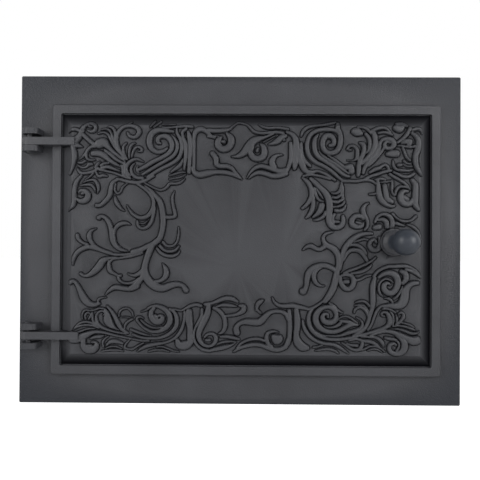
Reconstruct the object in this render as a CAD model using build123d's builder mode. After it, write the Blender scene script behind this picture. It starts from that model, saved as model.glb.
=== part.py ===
from build123d import *
import os
from cmath import phase
from math import asin, cos, pi, radians, sin

# A cast iron oven door in its wall frame, standing upright as it is built into the brickwork.
# X runs to the right, Z upwards and the front faces -Y. The wall plane is Y = 0, and the origin
# is at the middle of the frame's back face. All sizes are in millimetres.

# Mouth of the frame, and the flange around it
MOUTH_WIDTH = 368.0
MOUTH_HEIGHT = 248.0
HINGE_SIDE_MARGIN = 47.0  # from the mouth to the flange's left edge
LATCH_SIDE_MARGIN = 35.0  # from the mouth to the flange's right edge
TOP_MARGIN = 43.5
BOTTOM_MARGIN = 43.5
FLANGE_THICKNESS = 6.0
FLANGE_CORNER = 1.5
FLANGE_EDGE = 0.8  # bevel along the front edge

# Collar behind the flange, built into the wall
LIP = 8.0  # the flange reaches this far into the collar
COLLAR_WALL = 5.0
COLLAR_DEPTH = 38.0
COLLAR_CORNER = 6.0
ANCHOR_HOLE = 7.0
ANCHOR_SPACING = 260.0
ANCHOR_DEPTH = 24.0  # from the wall plane to the anchor holes

# Door leaf
LEAF_OVERLAP = 13.0  # the leaf laps the flange by this much on each side
LEAF_GAP = 0.3  # between the leaf's back and the flange
LEAF_CORNER = 3.5
RIM_WIDTH = 9.2
RIM_THICKNESS = 6.0
RIM_EDGE = 1.0  # bevel along the rim's outer edge
RIM_INNER_CORNER = 2.0
GROOVE_DEPTH = 3.3  # from the rim's front down to the foot of the bevel
GROOVE_WIDTH = 0.8
BEVEL_WIDTH = 12.5
BEVEL_RISE = 8.5
LEAF_WALL = 5.0
SEAT_WIDTH = 15.0  # flat ring at the leaf's back that lies on the flange

# Carved scrolls on the panel
SCROLL_RISE = 2.5  # from the panel to the scrolls' tops
SCROLL_ROOT = 1.5  # how deep they stand in the rim's floor
SCROLL_INSET = 0.3  # from the panel's edge
SCROLL_SPACE = 0.5  # taken off each stroke's half width, so that neighbours stay apart
SCROLL_THINNEST = 0.7  # least half width
SCROLL_WIDTH = 349.0  # size of the field that the points below were drawn on
SCROLL_HEIGHT = 229.0
SHARP_TURN = radians(40)  # a stroke that turns more than this at a point gets more points beside it
LARGEST_TURN = radians(90)  # an outline that turns more than this starts anew
INNER_SHARE = 0.42  # of a bend's chord, the most that its inner edge may take at each end

# Hinges
PIN_DIAMETER = 5.0
PIN_OFFSET = 21.4  # from the leaf's left edge to the pin axis
PIN_HEIGHT = 8.5  # from the flange's front to the pin axis
PIN_HEAD_RADIUS = 3.7
PIN_HEAD_FLAT = 2.2
PIN_HEAD_HEIGHT = 1.3
EAR_THICKNESS = 5.8
EAR_RADIUS = 7.0
EAR_REACH = 10.0  # from the pin axis to the ear's right flank
EAR_CORNER = 4.0
EAR_BORE_CLEARANCE = 0.05
EYE_BORE_CLEARANCE = 0.25
EYE_RADIUS = 7.0
STRAP_WIDTH = 7.4
STRAP_BACK = 2.4  # height of the strap's back over the flange
STRAP_EDGE = 1.2
UPPER_STRAP_REACH = 47.0  # from the pin axis to the strap's end on the panel
LOWER_STRAP_REACH = 52.0
UPPER_STRAP_INSET = 39.0  # from the leaf's top edge to the strap's middle
LOWER_STRAP_INSET = 40.6  # from the leaf's bottom edge to the strap's middle
UPPER_GAP_BELOW = 0.3  # the upper eye rests on its lower ear
UPPER_GAP_ABOVE = 3.8
LOWER_GAP_BELOW = 3.9
LOWER_GAP_ABOVE = 2.0

# Knob and latch
KNOB_INSET = 49.2  # from the leaf's right edge to the knob's axis
KNOB_DROP = 1.5  # the knob's axis is this far below the leaf's middle
BOSS_RADIUS = 14.0
BOSS_RISE = 2.5  # from the field to the boss's face
BOSS_EDGE = 1.0
KNOB_GAP = 0.3
FOOT_RADIUS = 12.0
FOOT_SIDE = 2.2
FOOT_TOP_RADIUS = 9.5
FOOT_THICKNESS = 3.6
NECK_RADIUS = 6.8
NECK_START = 6.0
WAIST_RADIUS = 5.6
HEAD_RADIUS = 12.4
HEAD_BAND = 2.4  # straight length between the head's two halves
HEAD_DISTANCE = 38.0  # from the boss to the middle of the knob's head
HEAD_REAR_FACETS = 2
HEAD_FRONT_FACETS = 4
KNOB_BORE_DEPTH = 20.0
SPINDLE_DIAMETER = 8.0
SPINDLE_CLEARANCE = 0.3
SPINDLE_SPARE = 1.0  # room past the spindle's end in the knob's bore
SPINDLE_CHAMFER = 0.6
THREAD_CLEARANCE = 0.05
BACK_BOSS_RADIUS = 11.0
BACK_BOSS_END = 5.0  # the boss ends this far behind the flange's front
WASHER_RADIUS = 9.0
WASHER_THICKNESS = 1.6
BLADE_THICKNESS = 5.0
BLADE_HUB_RADIUS = 11.0
BLADE_TIP_RADIUS = 7.0
BLADE_CATCH = 5.8  # the blade reaches this far behind the lip when it is turned
BLADE_SQUARE = 5.6  # inside the spindle's round part, and just over its end
BLADE_SQUARE_CLEARANCE = 0.05
END_DIAMETER = 5.0
NUT_ACROSS_FLATS = 8.0
NUT_THICKNESS = 4.0
LOCK_NUT_THICKNESS = 2.7
SPINDLE_END = 2.6  # the spindle stands out of the lock nut by this much

# The scrolls' strokes: points along the middle of each, as (to the right of the leaf's centre,
# up from it, half the stroke's width)
SCROLLS = (
    ((-190, 98, 3.7), (-176, 98, 4), (-169.5, 100.5, 3.6), (-166, 105.5, 2.4), (-164, 114.5, 0.5)),
    ((-176, 97, 3.6), (-163.5, 92.5, 0.5)),
    ((-176, 97, 2.6), (-172, 84, 3), (-172.8, 77, 2.2), (-177, 66.3, 1.9)),
    ((-147, 95.8, 5), (-142.5, 97, 4.6), (-137.8, 92, 2.4), (-122, 79.5, 1.1)),
    ((-153, 86, 3), (-147.5, 86, 3.2), (-142.5, 84, 3.2), (-126, 73, 0.8)),
    ((-169, 40, 1.5), (-165, 38, 2.6), (-160, 39.5, 3.2), (-158, 44, 3), (-160.5, 48.2, 2.4),
     (-165, 48.8, 1.8), (-167.3, 46.5, 1.1)),
    ((-124, 60.5, 1.1), (-129, 59.5, 1.5), (-133.5, 56.5, 2.1), (-136.3, 44, 2.5), (-145.5, 34, 2),
     (-149, 33.8, 2.2)),
    ((-101, 53.8, 0.9), (-95.5, 49.5, 1.5), (-86, 38, 2.9), (-83.6, 30, 3), (-82.5, 20, 3),
     (-83.3, 10, 2.8), (-85.5, 2, 2.8), (-88.5, -1.5, 2.9), (-93, -4.8, 2.8), (-112, -13, 3.4)),
    ((-147, 21.5, 2.5), (-144.5, 23, 1.9), (-140.5, 21.5, 2.1), (-137, 17, 2.5), (-134.7, 10.5, 2.6),
     (-131.5, -4, 2.9), (-126, -9.5, 2.1), (-119, -11.8, 1.1)),
    ((-112, -14, 1.5), (-131, -15.2, 1.5), (-157, -7.8, 2.5), (-164, -10, 2.5), (-169.5, -14.5, 2.2),
     (-172.3, -20.5, 1.8), (-172.8, -26, 0.6)),
    ((-129, -18, 0.9), (-136, -18.8, 1.6), (-142.5, -21.5, 3.3), (-150.5, -31.5, 3.3),
     (-156.5, -36, 2.2), (-161.5, -36.8, 1.5), (-164.5, -34.7, 1.8)),
    ((-139.8, -55.5, 0.6), (-136, -51.5, 1.7), (-130, -48, 2.6), (-114, -49.5, 2.5), (-108, -47, 2.5)),
    ((-175.5, -43.5, 2.4), (-172, -41.9, 1.9), (-168.3, -45.5, 2.1), (-161.5, -59, 3.7),
     (-156.5, -64.3, 3.4), (-150.5, -65.5, 2.3), (-146, -64.3, 1.6)),
    ((-140, -70.3, 1.3), (-137.5, -75, 2.5), (-137.5, -80.5, 4.4), (-134.5, -85.3, 3.4),
     (-126, -90.7, 0.5)),
    ((-190, -96.8, 3.8), (-179, -97, 3.9), (-172, -100, 4.3), (-164.5, -98.6, 4.2), (-149, -92.6, 1.7),
     (-110, -100, 0.9)),
    ((-161.5, -101, 2.4), (-161.5, -106.5, 3.1), (-157.5, -110.5, 3.7), (-151.5, -110, 3.9),
     (-148, -106, 2.4), (-149.8, -102.9, 1.3), (-153.5, -103, 0.8)),
    ((-73, 108.3, 1.5), (-88, 109.6, 2.8), (-94.5, 106, 3.2), (-96.8, 98.5, 3.2), (-94.8, 91.5, 2.8),
     (-89, 87.6, 2.2), (-83, 88.5, 2.1), (-79, 91.5, 1.4)),
    ((-108, 69.5, 1.6), (-78, 86, 2.4), (-74.3, 91.5, 2.5), (-74.8, 98, 2.8), (-79, 103, 2.8),
     (-85.5, 103.3, 2.2), (-88.5, 100.5, 2.2), (-88, 97, 1.9), (-85.8, 96.3, 1.2)),
    ((-57, 67.5, 2), (-55.8, 92, 2.3), (-58, 108, 1.6)),
    ((-52.3, 68, 1.8), (-52, 101, 1.9), (-50.5, 108, 2.6), (-45, 110.8, 2.8), (-31.5, 102, 1.2)),
    ((-93.5, -6, 3), (-99, -20, 3.1), (-100.8, -28, 3.3), (-100, -35, 3.8), (-96, -42, 4.2),
     (-89.5, -47, 4.2), (-82, -48.5, 3.8), (-68, -44.6, 2.7), (-62.5, -46, 2.2), (-59.3, -50.5, 2.9)),
    ((-82.8, -24, 0.6), (-80, -28.5, 2.2), (-79, -33.5, 3), (-80.5, -38, 2.6), (-85, -41.2, 1.9),
     (-91, -42.5, 1.9)),
    ((-114, -48.5, 2.6), (-104.5, -40, 2.6), (-102, -35, 2.4)),
    ((-91, -68.5, 1.6), (-94, -72.5, 2.4), (-93.5, -78, 2.8), (-89.5, -82, 3.2), (-84.5, -81.5, 3.2),
     (-82.3, -78, 2.2), (-84.5, -75.8, 1.5), (-88, -77.3, 1.2)),
    ((-97, -68.5, 1), (-91, -66.3, 1.4), (-84.5, -67.5, 2.2), (-78.5, -71, 2.6), (-75.2, -76.5, 2.9),
     (-75.2, -82.5, 2.9), (-79, -88, 2.6), (-85.5, -91.5, 2), (-93, -92, 1.6), (-100, -89, 1.3),
     (-108.3, -80, 1.3), (-106, -77.3, 1), (-101.5, -78.8, 0.7)),
    ((-36.5, -66, 2.6), (-37.5, -73, 3.2), (-46.3, -94, 2.8), (-45, -100.5, 2.3), (-40.5, -105.3, 1.8),
     (-34.5, -105.9, 1.6), (-30, -102.5, 2), (-29, -97.5, 2.2), (-32, -94, 1.6), (-37, -94.2, 1.4),
     (-40.2, -97, 1.2)),
    ((-56, -72, 3.4), (-54.5, -102, 3.4)),
    ((-67.5, -101, 2.4), (-65.5, -105.5, 3.6), (-60, -105.5, 4.6), (-56, -104, 3.6)),
    ((-5.5, -65.5, 1.4), (-1.5, -66.5, 2.6), (-2, -70.5, 2.8), (-7, -73.8, 1.9), (-19.5, -76, 1.2)),
    ((-8, -92.5, 3.2), (-8.8, -88, 2.8), (-5.5, -83.5, 2.2), (0.5, -81.5, 3), (14.5, -81.5, 3.6),
     (23.5, -73, 2.4), (29, -71, 2), (35.5, -71.2, 2), (40.5, -73.5, 2.2), (43, -78.5, 2.2)),
    ((-19, 106.5, 1.6), (-15.2, 102, 3.4), (-15, 96.5, 3.5), (-18.5, 91.8, 3.5), (-24, 91, 3.5),
     (-28, 95, 3.5), (-27.5, 100, 2.8), (-24.5, 103, 1.2)),
    ((-14.5, 83.2, 0.6), (-8, 83.8, 2.2), (-2, 87.5, 3.6), (7.5, 99, 4), (27, 106.3, 1.2)),
    ((6, 93, 2.6), (4.5, 88, 2.8), (7, 83, 3.2), (12, 81.3, 3.2), (17, 83.5, 3.4), (18.5, 89, 3.2),
     (17, 94, 2.4), (14.5, 96, 0.9)),
    ((23, 95.8, 1), (32, 99.5, 3.2), (35, 102.5, 2.8), (39.5, 104.3, 2)),
    ((36.5, 85.3, 0.7), (31.5, 84.8, 1.6), (27.5, 82, 2.6), (26, 77.5, 3.2), (28, 73, 3.2)),
    ((-33.5, 86.5, 2.6), (-30, 81.5, 2.8), (-29.5, 76, 2.6), (-26, 73.8, 2.6), (-20, 73.8, 2.6),
     (-14.5, 71.8, 2.2), (-4, 60.5, 0.6)),
    ((-53, 72, 2), (-51.5, 67.5, 2.6), (-46.5, 65, 3.4), (-24, 67.8, 2.4), (-17, 66.8, 2.3),
     (-6, 61.5, 0.9)),
    ((1, 62, 0.7), (9, 71.8, 2), (15, 74, 2.4), (34, 69, 2.6), (40, 70, 2.6)),
    ((3, 61.5, 0.8), (7.5, 65.5, 1.8), (13, 67.5, 2.4), (26, 64.3, 2.6), (33, 64.3, 2.6), (40, 66.5, 2.6)),
    ((51, -70, 2.6), (52, -78, 3.2), (51, -94, 3), (52.5, -101, 4.2), (57, -106, 4.4), (62, -107, 2.6)),
    ((112, -84, 1.2), (106, -83.8, 2.2), (94, -89.4, 2.4), (87.5, -91, 2.4), (80.5, -90.2, 2.6),
     (74.5, -87, 2.9), (70.8, -81.5, 3.2), (70.6, -75.5, 3.2), (73.5, -70, 2.8), (78.5, -66.8, 2.2),
     (84, -66.3, 2.2), (89, -69.3, 2.4), (91, -74.5, 2.4), (89.5, -79.5, 2.8), (84.5, -81.8, 3),
     (79, -80.5, 2.8), (77, -76.5, 2.4), (79, -73.3, 1.8), (82.3, -73.6, 1.4), (82.6, -76.5, 1.2)),
    ((86, 8.3, 1.2), (80.5, 6.8, 1.6), (77.7, 3.3, 1.8), (78, -0.5, 2.2), (80.5, -4.5, 2.8),
     (89.5, -9.8, 3.3), (92.3, -15, 3), (92.3, -27, 2.6), (88.8, -44, 3.4), (86.5, -50, 3.4),
     (79.5, -60.5, 2.6)),
    ((91, -31, 2.2), (81, -25.3, 2.6), (74.5, -25, 2.6), (68, -27.5, 3), (63.5, -32, 3.2),
     (61.2, -44, 2.4), (57.8, -50.8, 3.8)),
    ((76, -27, 1.2), (71, -29.8, 2), (68.5, -34, 2.6), (68.7, -39, 2.4), (71.3, -43.2, 2),
     (75.5, -45.3, 1.2), (79, -45.3, 0.7)),
    ((94.5, -36, 1.8), (95.3, -42, 2.4), (98.5, -47, 2.6), (103, -48.3, 2.6), (107, -45, 2.8),
     (108, -39.5, 2.6), (105.8, -35.3, 2.2), (101, -34, 2), (96.5, -34.8, 1.6)),
    ((133, -36.5, 1.6), (138, -33, 2.4), (144, -32, 3), (149.5, -34.5, 3.4), (152, -40, 3.4),
     (151, -46, 3.2), (147.5, -51, 3.2), (142.5, -52, 3), (138.5, -48.5, 3), (138.3, -44, 2.6),
     (141.5, -42, 1.8), (144, -43.8, 1.2)),
    ((155.5, -30.5, 2.2), (159.5, -33, 3), (160, -38, 3), (157, -42, 2)),
    ((171, -42, 2.4), (166.5, -42.3, 2.6), (162, -45.5, 3.2), (156, -62.5, 4.6), (150, -65, 3.4),
     (138, -65.3, 1.4)),
    ((129, -37.5, 2), (127.3, -44, 2.8), (126.5, -67, 2.4), (122.8, -80, 2), (120, -86, 2),
     (115.5, -90.5, 2), (108, -94.5, 1.4)),
    ((139, -75.2, 0.9), (136.3, -74.6, 1.2), (136.2, -71.9, 1.2), (139, -70.9, 1.3), (142, -73, 2),
     (144, -78, 2.6), (143.5, -83, 2.6), (139, -86.5, 1.9), (106, -96.3, 1.2)),
    ((125, -94.3, 1.2), (140, -90, 2), (148, -91.3, 2.2), (166.5, -99.5, 4.4), (170.5, -99, 4.6)),
    ((150, -94.2, 1), (155.5, -97.8, 2.2), (158.8, -103, 3.6), (157.5, -109, 3.4), (152, -112.2, 2.8),
     (146, -111.2, 2.4), (143.5, -107.5, 2.2), (144.5, -103.5, 2), (148, -102, 1.6), (150.3, -103.9, 1.2)),
    ((41, 108, 1.6), (46, 106, 2.2), (49.5, 101, 3), (50, 86, 3.8), (48.5, 71.5, 1.8)),
    ((53.5, 90, 2.2), (54.5, 80, 3), (60.5, 69, 2.6), (66, 68, 2), (71, 69.3, 1.4), (77, 67.5, 1.6),
     (89, 60, 1.4)),
    ((92, 117, 1.8), (91.5, 112, 2.6), (94, 106.5, 2.4), (93.3, 94, 2.8), (90, 89, 2.8),
     (84.5, 87.3, 2.6), (79.5, 89, 2.6), (76.8, 93.5, 2.6), (76.8, 99, 2.8), (79.5, 104, 3),
     (84.5, 104.3, 2.8), (87.8, 100.5, 2.4), (87.3, 95.8, 2.4), (84, 94.8, 2)),
    ((72, 106, 1), (69, 101.5, 2.2), (68.3, 95, 2.6), (69.3, 88.5, 2.6), (73, 83, 2.4), (95.5, 67.2, 2),
     (103.3, 63.8, 1.4)),
    ((107.3, 109, 2.8), (110.5, 108.5, 4.4), (114.5, 106.8, 2.4)),
    ((56.5, 62.5, 1), (61.5, 58.5, 2.2), (65, 52.5, 2.6), (66, 46, 2.6), (64.3, 40.5, 2.4),
     (56.8, 32, 1.6)),
    ((76, 34.8, 3.2), (74.8, 30.5, 3.2), (67.3, 23.2, 1.2)),
    ((65, 61.5, 2), (79, 48, 3.2), (82.5, 42, 3.4), (83.8, 35, 3.6), (83, 20, 3), (85.5, 14.8, 3),
     (90.5, 12.8, 2.8), (95.3, 14.7, 2.8), (97.5, 19, 2.6), (97, 24, 1.8)),
    ((117.5, 21.5, 1.4), (114.5, 24.3, 2.4), (109.5, 24.3, 2.6), (106, 20.5, 2.8), (106.5, 15.8, 2.8),
     (111, 13.8, 2.4), (116, 14.5, 2), (117.3, 17.5, 1.2)),
    ((126, 109.5, 2), (128.5, 104, 2.8), (129, 97, 3), (127, 90.5, 2.8), (123.5, 85, 2.6), (115.8, 77, 2)),
    ((133.5, 98.5, 1.4), (132.8, 93, 2.4), (129.8, 87.3, 2.6), (118.5, 72.8, 2.2), (117, 67.5, 1.8)),
    ((113.5, 97.8, 1.2), (117, 96, 2.4), (118, 91.5, 2.4), (112.8, 75.5, 2.4), (112, 65, 1.8)),
    ((134, 97, 1.6), (136, 100.5, 2), (141, 101.8, 2.4), (146, 100, 2.8), (147.5, 95.5, 2.8),
     (144, 92.5, 2.2), (139.5, 92.8, 2.2), (138, 96, 2), (140.5, 98.8, 1.4), (143.5, 97.6, 1)),
    ((141.5, 86.5, 2.4), (150, 87, 3.8)),
    ((149.5, 112.5, 3.2), (153, 111.5, 4), (155.5, 112.8, 2.8)),
    ((155.5, 97.5, 1.2), (163, 98.8, 3.4), (162.5, 96, 2.4)),
    ((165.5, 107.5, 1.6), (169.5, 104.5, 2.4), (172.3, 99, 3), (169.3, 85, 3), (169.3, 78, 2.8),
     (171.5, 71.5, 2.4), (175, 66.3, 1.8)),
    ((166, 60.5, 2.2), (169, 56, 3), (169, 36.5, 3.2), (172, 31.5, 2)),
    ((161.5, 49.3, 1.4), (157, 49.3, 2.4), (154.3, 45.5, 3), (154.8, 40.5, 3.2), (158.5, 37, 3.2),
     (163.5, 37.3, 3), (166, 41, 2)),
    ((131.5, 60, 1.6), (133, 47, 3), (135, 41, 3), (139.5, 36.5, 2.4), (145, 34.3, 1.8),
     (148.3, 34.9, 1.2)),
    ((138.5, 54.5, 2.6), (141, 42, 3), (145.5, 38.8, 2.4)),
    ((122.5, 37.5, 1), (118.8, 35, 1.8), (117, 30.5, 2.6), (121.3, 20.5, 1.9), (121.8, 15, 1.6),
     (119, 10.8, 1.4)),
    ((129, 18.5, 1.4), (131.5, 23.5, 1.6), (136, 26.3, 1.8), (141, 25.7, 2.2), (145, 22.5, 2.4),
     (146.3, 17.5, 2.6), (144.5, 6.5, 1.8)),
    ((132.5, 20.5, 1.4), (136.5, 21.3, 2.2), (140.3, 18.5, 2.6), (141, 14, 2.4)),
    ((129, 13, 2.6), (133, 13.8, 3.2)),
    ((126, 7, 1.4), (119.5, 7, 2), (113, 5.2, 2.4), (107, 1.5, 2.8), (102, -3.5, 2.8), (98.3, -9.5, 2.8),
     (94.5, -29, 1.4)),
)

# Sizes and places that follow
frame_width = HINGE_SIDE_MARGIN + MOUTH_WIDTH + LATCH_SIDE_MARGIN
frame_height = BOTTOM_MARGIN + MOUTH_HEIGHT + TOP_MARGIN
mouth_x = (HINGE_SIDE_MARGIN - LATCH_SIDE_MARGIN) / 2
mouth_z = (BOTTOM_MARGIN - TOP_MARGIN) / 2
collar_width = MOUTH_WIDTH + 2 * LIP
collar_height = MOUTH_HEIGHT + 2 * LIP
leaf_width = MOUTH_WIDTH + 2 * LEAF_OVERLAP
leaf_height = MOUTH_HEIGHT + 2 * LEAF_OVERLAP
leaf_left = mouth_x - leaf_width / 2
leaf_right = mouth_x + leaf_width / 2
rim_top = LEAF_GAP + RIM_THICKNESS
groove_floor = rim_top - GROOVE_DEPTH
field_top = groove_floor + BEVEL_RISE
boss_top = field_top + BOSS_RISE
inner_width = leaf_width - 2 * RIM_WIDTH
inner_height = leaf_height - 2 * RIM_WIDTH
panel_width = inner_width - 2 * GROOVE_WIDTH
panel_height = inner_height - 2 * GROOVE_WIDTH
field_width = panel_width - 2 * BEVEL_WIDTH
field_height = panel_height - 2 * BEVEL_WIDTH
pin_x = leaf_left - PIN_OFFSET
strap_top = PIN_HEIGHT + EYE_RADIUS
knob_x = leaf_right - KNOB_INSET
knob_z = mouth_z - KNOB_DROP
upper_strap_z = mouth_z + leaf_height / 2 - UPPER_STRAP_INSET
lower_strap_z = mouth_z - leaf_height / 2 + LOWER_STRAP_INSET
ear_bore = PIN_DIAMETER / 2 + EAR_BORE_CLEARANCE
eye_bore = PIN_DIAMETER / 2 + EYE_BORE_CLEARANCE


def height(h):
    """Y of a plane that lies h in front of the flange's front face."""
    return -FLANGE_THICKNESS - h


def facing_plane(h):
    """Sketch plane at height h: its X is to the right, its Y upwards, and it faces the viewer."""
    return Plane(origin=(mouth_x, height(h), mouth_z), x_dir=(1, 0, 0), z_dir=(0, -1, 0))


def knob_plane(h):
    """Facing plane with its origin on the knob's axis."""
    return Plane(origin=(knob_x, height(h), knob_z), x_dir=(1, 0, 0), z_dir=(0, -1, 0))


def level_plane(z):
    """Sketch plane at height z through the pin axis: its X is to the right, its Y to the wall."""
    return Plane(origin=(pin_x, height(PIN_HEIGHT), z), x_dir=(1, 0, 0), z_dir=(0, 0, 1))


def with_more_points(stroke):
    """The stroke as (place, half width), with a point on the curve beside each sharp turn."""
    across = field_width / SCROLL_WIDTH
    upwards = field_height / SCROLL_HEIGHT
    rows = [(complex(u * across, v * upwards), half) for u, v, half in stroke]
    last = len(rows) - 1
    turns = [0.0] * len(rows)
    for i in range(1, last):
        turns[i] = abs(phase((rows[i + 1][0] - rows[i][0]) / (rows[i][0] - rows[i - 1][0])))
    more = []
    for i in range(last):
        more.append(rows[i])
        if max(turns[i], turns[i + 1]) > SHARP_TURN:
            outer = rows[max(i - 1, 0)][0] + rows[min(i + 2, last)][0]
            inner = rows[i][0] + rows[i + 1][0]
            more.append(((9 * inner - outer) / 16, (rows[i][1] + rows[i + 1][1]) / 2))
    more.append(rows[last])
    return more


def scroll_outlines(stroke):
    """Closed outlines that cover one stroke. One that curls on itself needs several."""
    rows = with_more_points(stroke)
    last = len(rows) - 1
    outlines = []
    left = []
    right = []
    turned = 0.0
    for i, (here, half) in enumerate(rows):
        before = rows[max(i - 1, 0)][0]
        after = rows[min(i + 1, last)][0]
        along = (after - before) / abs(after - before)
        half = max(SCROLL_THINNEST, half - SCROLL_SPACE)
        left_half = half
        right_half = half
        if 0 < i < last:
            turn = phase((after - here) / (here - before))
            turned += turn
            room = INNER_SHARE * min(abs(after - here), abs(here - before)) / max(abs(sin(turn / 2)), 0.01)
            if turn > 0:
                left_half = min(half, room)
            else:
                right_half = min(half, room)
        if i == 0:
            left.append(here - along * half / 2)
        left.append(here + along * 1j * left_half)
        right.append(here - along * 1j * right_half)
        if i == last:
            left.append(here + along * half / 2)
        if i == last or abs(turned) > LARGEST_TURN:
            outlines.append([(p.real, p.imag) for p in left + right[::-1]])
            left = left[-1:]
            right = right[-1:]
            turned = 0.0
    return outlines


# Both hinges, from the bottom of the lower ear to the top of the upper one
class Hinge:
    def __init__(self, name, strap_z, gap_below, gap_above, reach):
        self.name = name
        self.strap_bottom = strap_z - STRAP_WIDTH / 2
        self.strap_top = strap_z + STRAP_WIDTH / 2
        self.ears = (self.strap_bottom - gap_below - EAR_THICKNESS, self.strap_top + gap_above)
        self.bottom = self.ears[0]
        self.top = self.ears[1] + EAR_THICKNESS
        self.reach = reach


hinges = (
    Hinge("upper", upper_strap_z, UPPER_GAP_BELOW, UPPER_GAP_ABOVE, UPPER_STRAP_REACH),
    Hinge("lower", lower_strap_z, LOWER_GAP_BELOW, LOWER_GAP_ABOVE, LOWER_STRAP_REACH),
)

# Frame: flange, collar and hinge ears in one casting
with BuildPart() as frame:
    flange_plane = Plane(origin=(0, height(0), 0), x_dir=(1, 0, 0), z_dir=(0, -1, 0))
    with BuildSketch(flange_plane):
        RectangleRounded(frame_width, frame_height, FLANGE_CORNER)
    extrude(amount=-FLANGE_THICKNESS)
    front_face = frame.faces().sort_by(Axis.Y)[0]
    chamfer(front_face.edges(), FLANGE_EDGE)
    with BuildSketch(facing_plane(-FLANGE_THICKNESS)):
        RectangleRounded(
            collar_width + 2 * COLLAR_WALL, collar_height + 2 * COLLAR_WALL, COLLAR_CORNER + COLLAR_WALL
        )
        RectangleRounded(collar_width, collar_height, COLLAR_CORNER, mode=Mode.SUBTRACT)
    extrude(amount=-COLLAR_DEPTH)
    with BuildSketch(facing_plane(0)):
        RectangleRounded(MOUTH_WIDTH, MOUTH_HEIGHT, COLLAR_CORNER - 2)
    extrude(amount=-FLANGE_THICKNESS, mode=Mode.SUBTRACT)
    anchor_plane = Plane(origin=(mouth_x, ANCHOR_DEPTH, mouth_z), x_dir=(1, 0, 0), z_dir=(0, 0, 1))
    with BuildSketch(anchor_plane):
        with GridLocations(ANCHOR_SPACING, 0, 2, 1):
            Circle(ANCHOR_HOLE / 2)
    extrude(amount=collar_height / 2 + 2 * COLLAR_WALL, both=True, mode=Mode.SUBTRACT)
    for hinge in hinges:
        for ear_bottom in hinge.ears:
            with BuildSketch(level_plane(ear_bottom)):
                with BuildLine():
                    foot = PIN_HEIGHT + FLANGE_THICKNESS / 2
                    side = Line((-EAR_RADIUS, foot), (-EAR_RADIUS, 0))
                    round_side = TangentArc(side @ 1, (0, -EAR_RADIUS), tangent=(0, -1))
                    top = Line(round_side @ 1, (EAR_REACH - EAR_CORNER, -EAR_RADIUS))
                    corner_end = (EAR_REACH, EAR_CORNER - EAR_RADIUS)
                    corner = TangentArc(top @ 1, corner_end, tangent=(1, 0))
                    flank = Line(corner @ 1, (EAR_REACH, foot))
                    Line(flank @ 1, side @ 0)
                make_face()
                Circle(ear_bore, mode=Mode.SUBTRACT)
            extrude(amount=EAR_THICKNESS)

os.makedirs("parts", exist_ok=True)
frame.part.label = "frame"
export_step(frame.part, "parts/frame.step")

# Scrolls of the door leaf, up to a surface that runs parallel to the bevelled panel
with BuildPart() as scrolls:
    root = groove_floor - SCROLL_ROOT
    with BuildSketch(facing_plane(root)):
        Rectangle(panel_width - 2 * SCROLL_INSET, panel_height - 2 * SCROLL_INSET)
    extrude(amount=SCROLL_ROOT + SCROLL_RISE)
    with BuildSketch(facing_plane(groove_floor + SCROLL_RISE)):
        Rectangle(panel_width - 2 * SCROLL_INSET, panel_height - 2 * SCROLL_INSET)
    with BuildSketch(facing_plane(field_top + SCROLL_RISE)):
        Rectangle(field_width, field_height)
    loft()
    with BuildSketch(facing_plane(root)):
        faces = []
        for stroke in SCROLLS:
            for outline in scroll_outlines(stroke):
                faces.append(Face(Wire.make_polygon(outline)))
        add(faces)
    extrude(amount=SCROLL_ROOT + BEVEL_RISE + SCROLL_RISE, mode=Mode.INTERSECT)

# Door leaf: rim, bevelled panel, straps and bosses in one casting
with BuildPart() as door_leaf:
    with BuildSketch(facing_plane(LEAF_GAP)):
        RectangleRounded(leaf_width, leaf_height, LEAF_CORNER)
    extrude(amount=RIM_THICKNESS)
    rim_face = door_leaf.faces().sort_by(Axis.Y)[0]
    chamfer(rim_face.edges(), RIM_EDGE)
    with BuildSketch(facing_plane(rim_top)):
        RectangleRounded(inner_width, inner_height, RIM_INNER_CORNER)
    extrude(amount=-GROOVE_DEPTH, mode=Mode.SUBTRACT)
    with BuildSketch(facing_plane(groove_floor)):
        Rectangle(panel_width, panel_height)
    with BuildSketch(facing_plane(field_top)):
        Rectangle(field_width, field_height)
    loft()
    add(scrolls.part)
    with BuildSketch(knob_plane(field_top)):
        Circle(BOSS_RADIUS)
    extrude(amount=BOSS_RISE)
    for hinge in hinges:
        with BuildSketch(level_plane(hinge.strap_bottom)):
            with Locations((hinge.reach / 2, (PIN_HEIGHT - STRAP_BACK - EYE_RADIUS) / 2)):
                Rectangle(hinge.reach, EYE_RADIUS + PIN_HEIGHT - STRAP_BACK)
            Circle(EYE_RADIUS)
        extrude(amount=STRAP_WIDTH)
        with BuildSketch(level_plane(hinge.strap_bottom)):
            Circle(eye_bore)
        extrude(amount=STRAP_WIDTH, mode=Mode.SUBTRACT)
    hollow_rise = field_top - LEAF_WALL - LEAF_GAP
    hollow_slope = BEVEL_WIDTH * hollow_rise / BEVEL_RISE
    with BuildSketch(facing_plane(LEAF_GAP)):
        Rectangle(leaf_width - 2 * SEAT_WIDTH, leaf_height - 2 * SEAT_WIDTH)
    with BuildSketch(facing_plane(field_top - LEAF_WALL)):
        Rectangle(
            leaf_width - 2 * (SEAT_WIDTH + hollow_slope), leaf_height - 2 * (SEAT_WIDTH + hollow_slope)
        )
    loft(mode=Mode.SUBTRACT)
    with BuildSketch(knob_plane(-BACK_BOSS_END)):
        Circle(BACK_BOSS_RADIUS)
    extrude(amount=field_top - LEAF_WALL / 2 + BACK_BOSS_END)
    with BuildSketch(knob_plane(-BACK_BOSS_END)):
        Circle(SPINDLE_DIAMETER / 2 + SPINDLE_CLEARANCE)
    extrude(amount=boss_top + BACK_BOSS_END, mode=Mode.SUBTRACT)

door_leaf.part.label = "door_leaf"
export_step(door_leaf.part, "parts/door_leaf.step")


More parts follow.
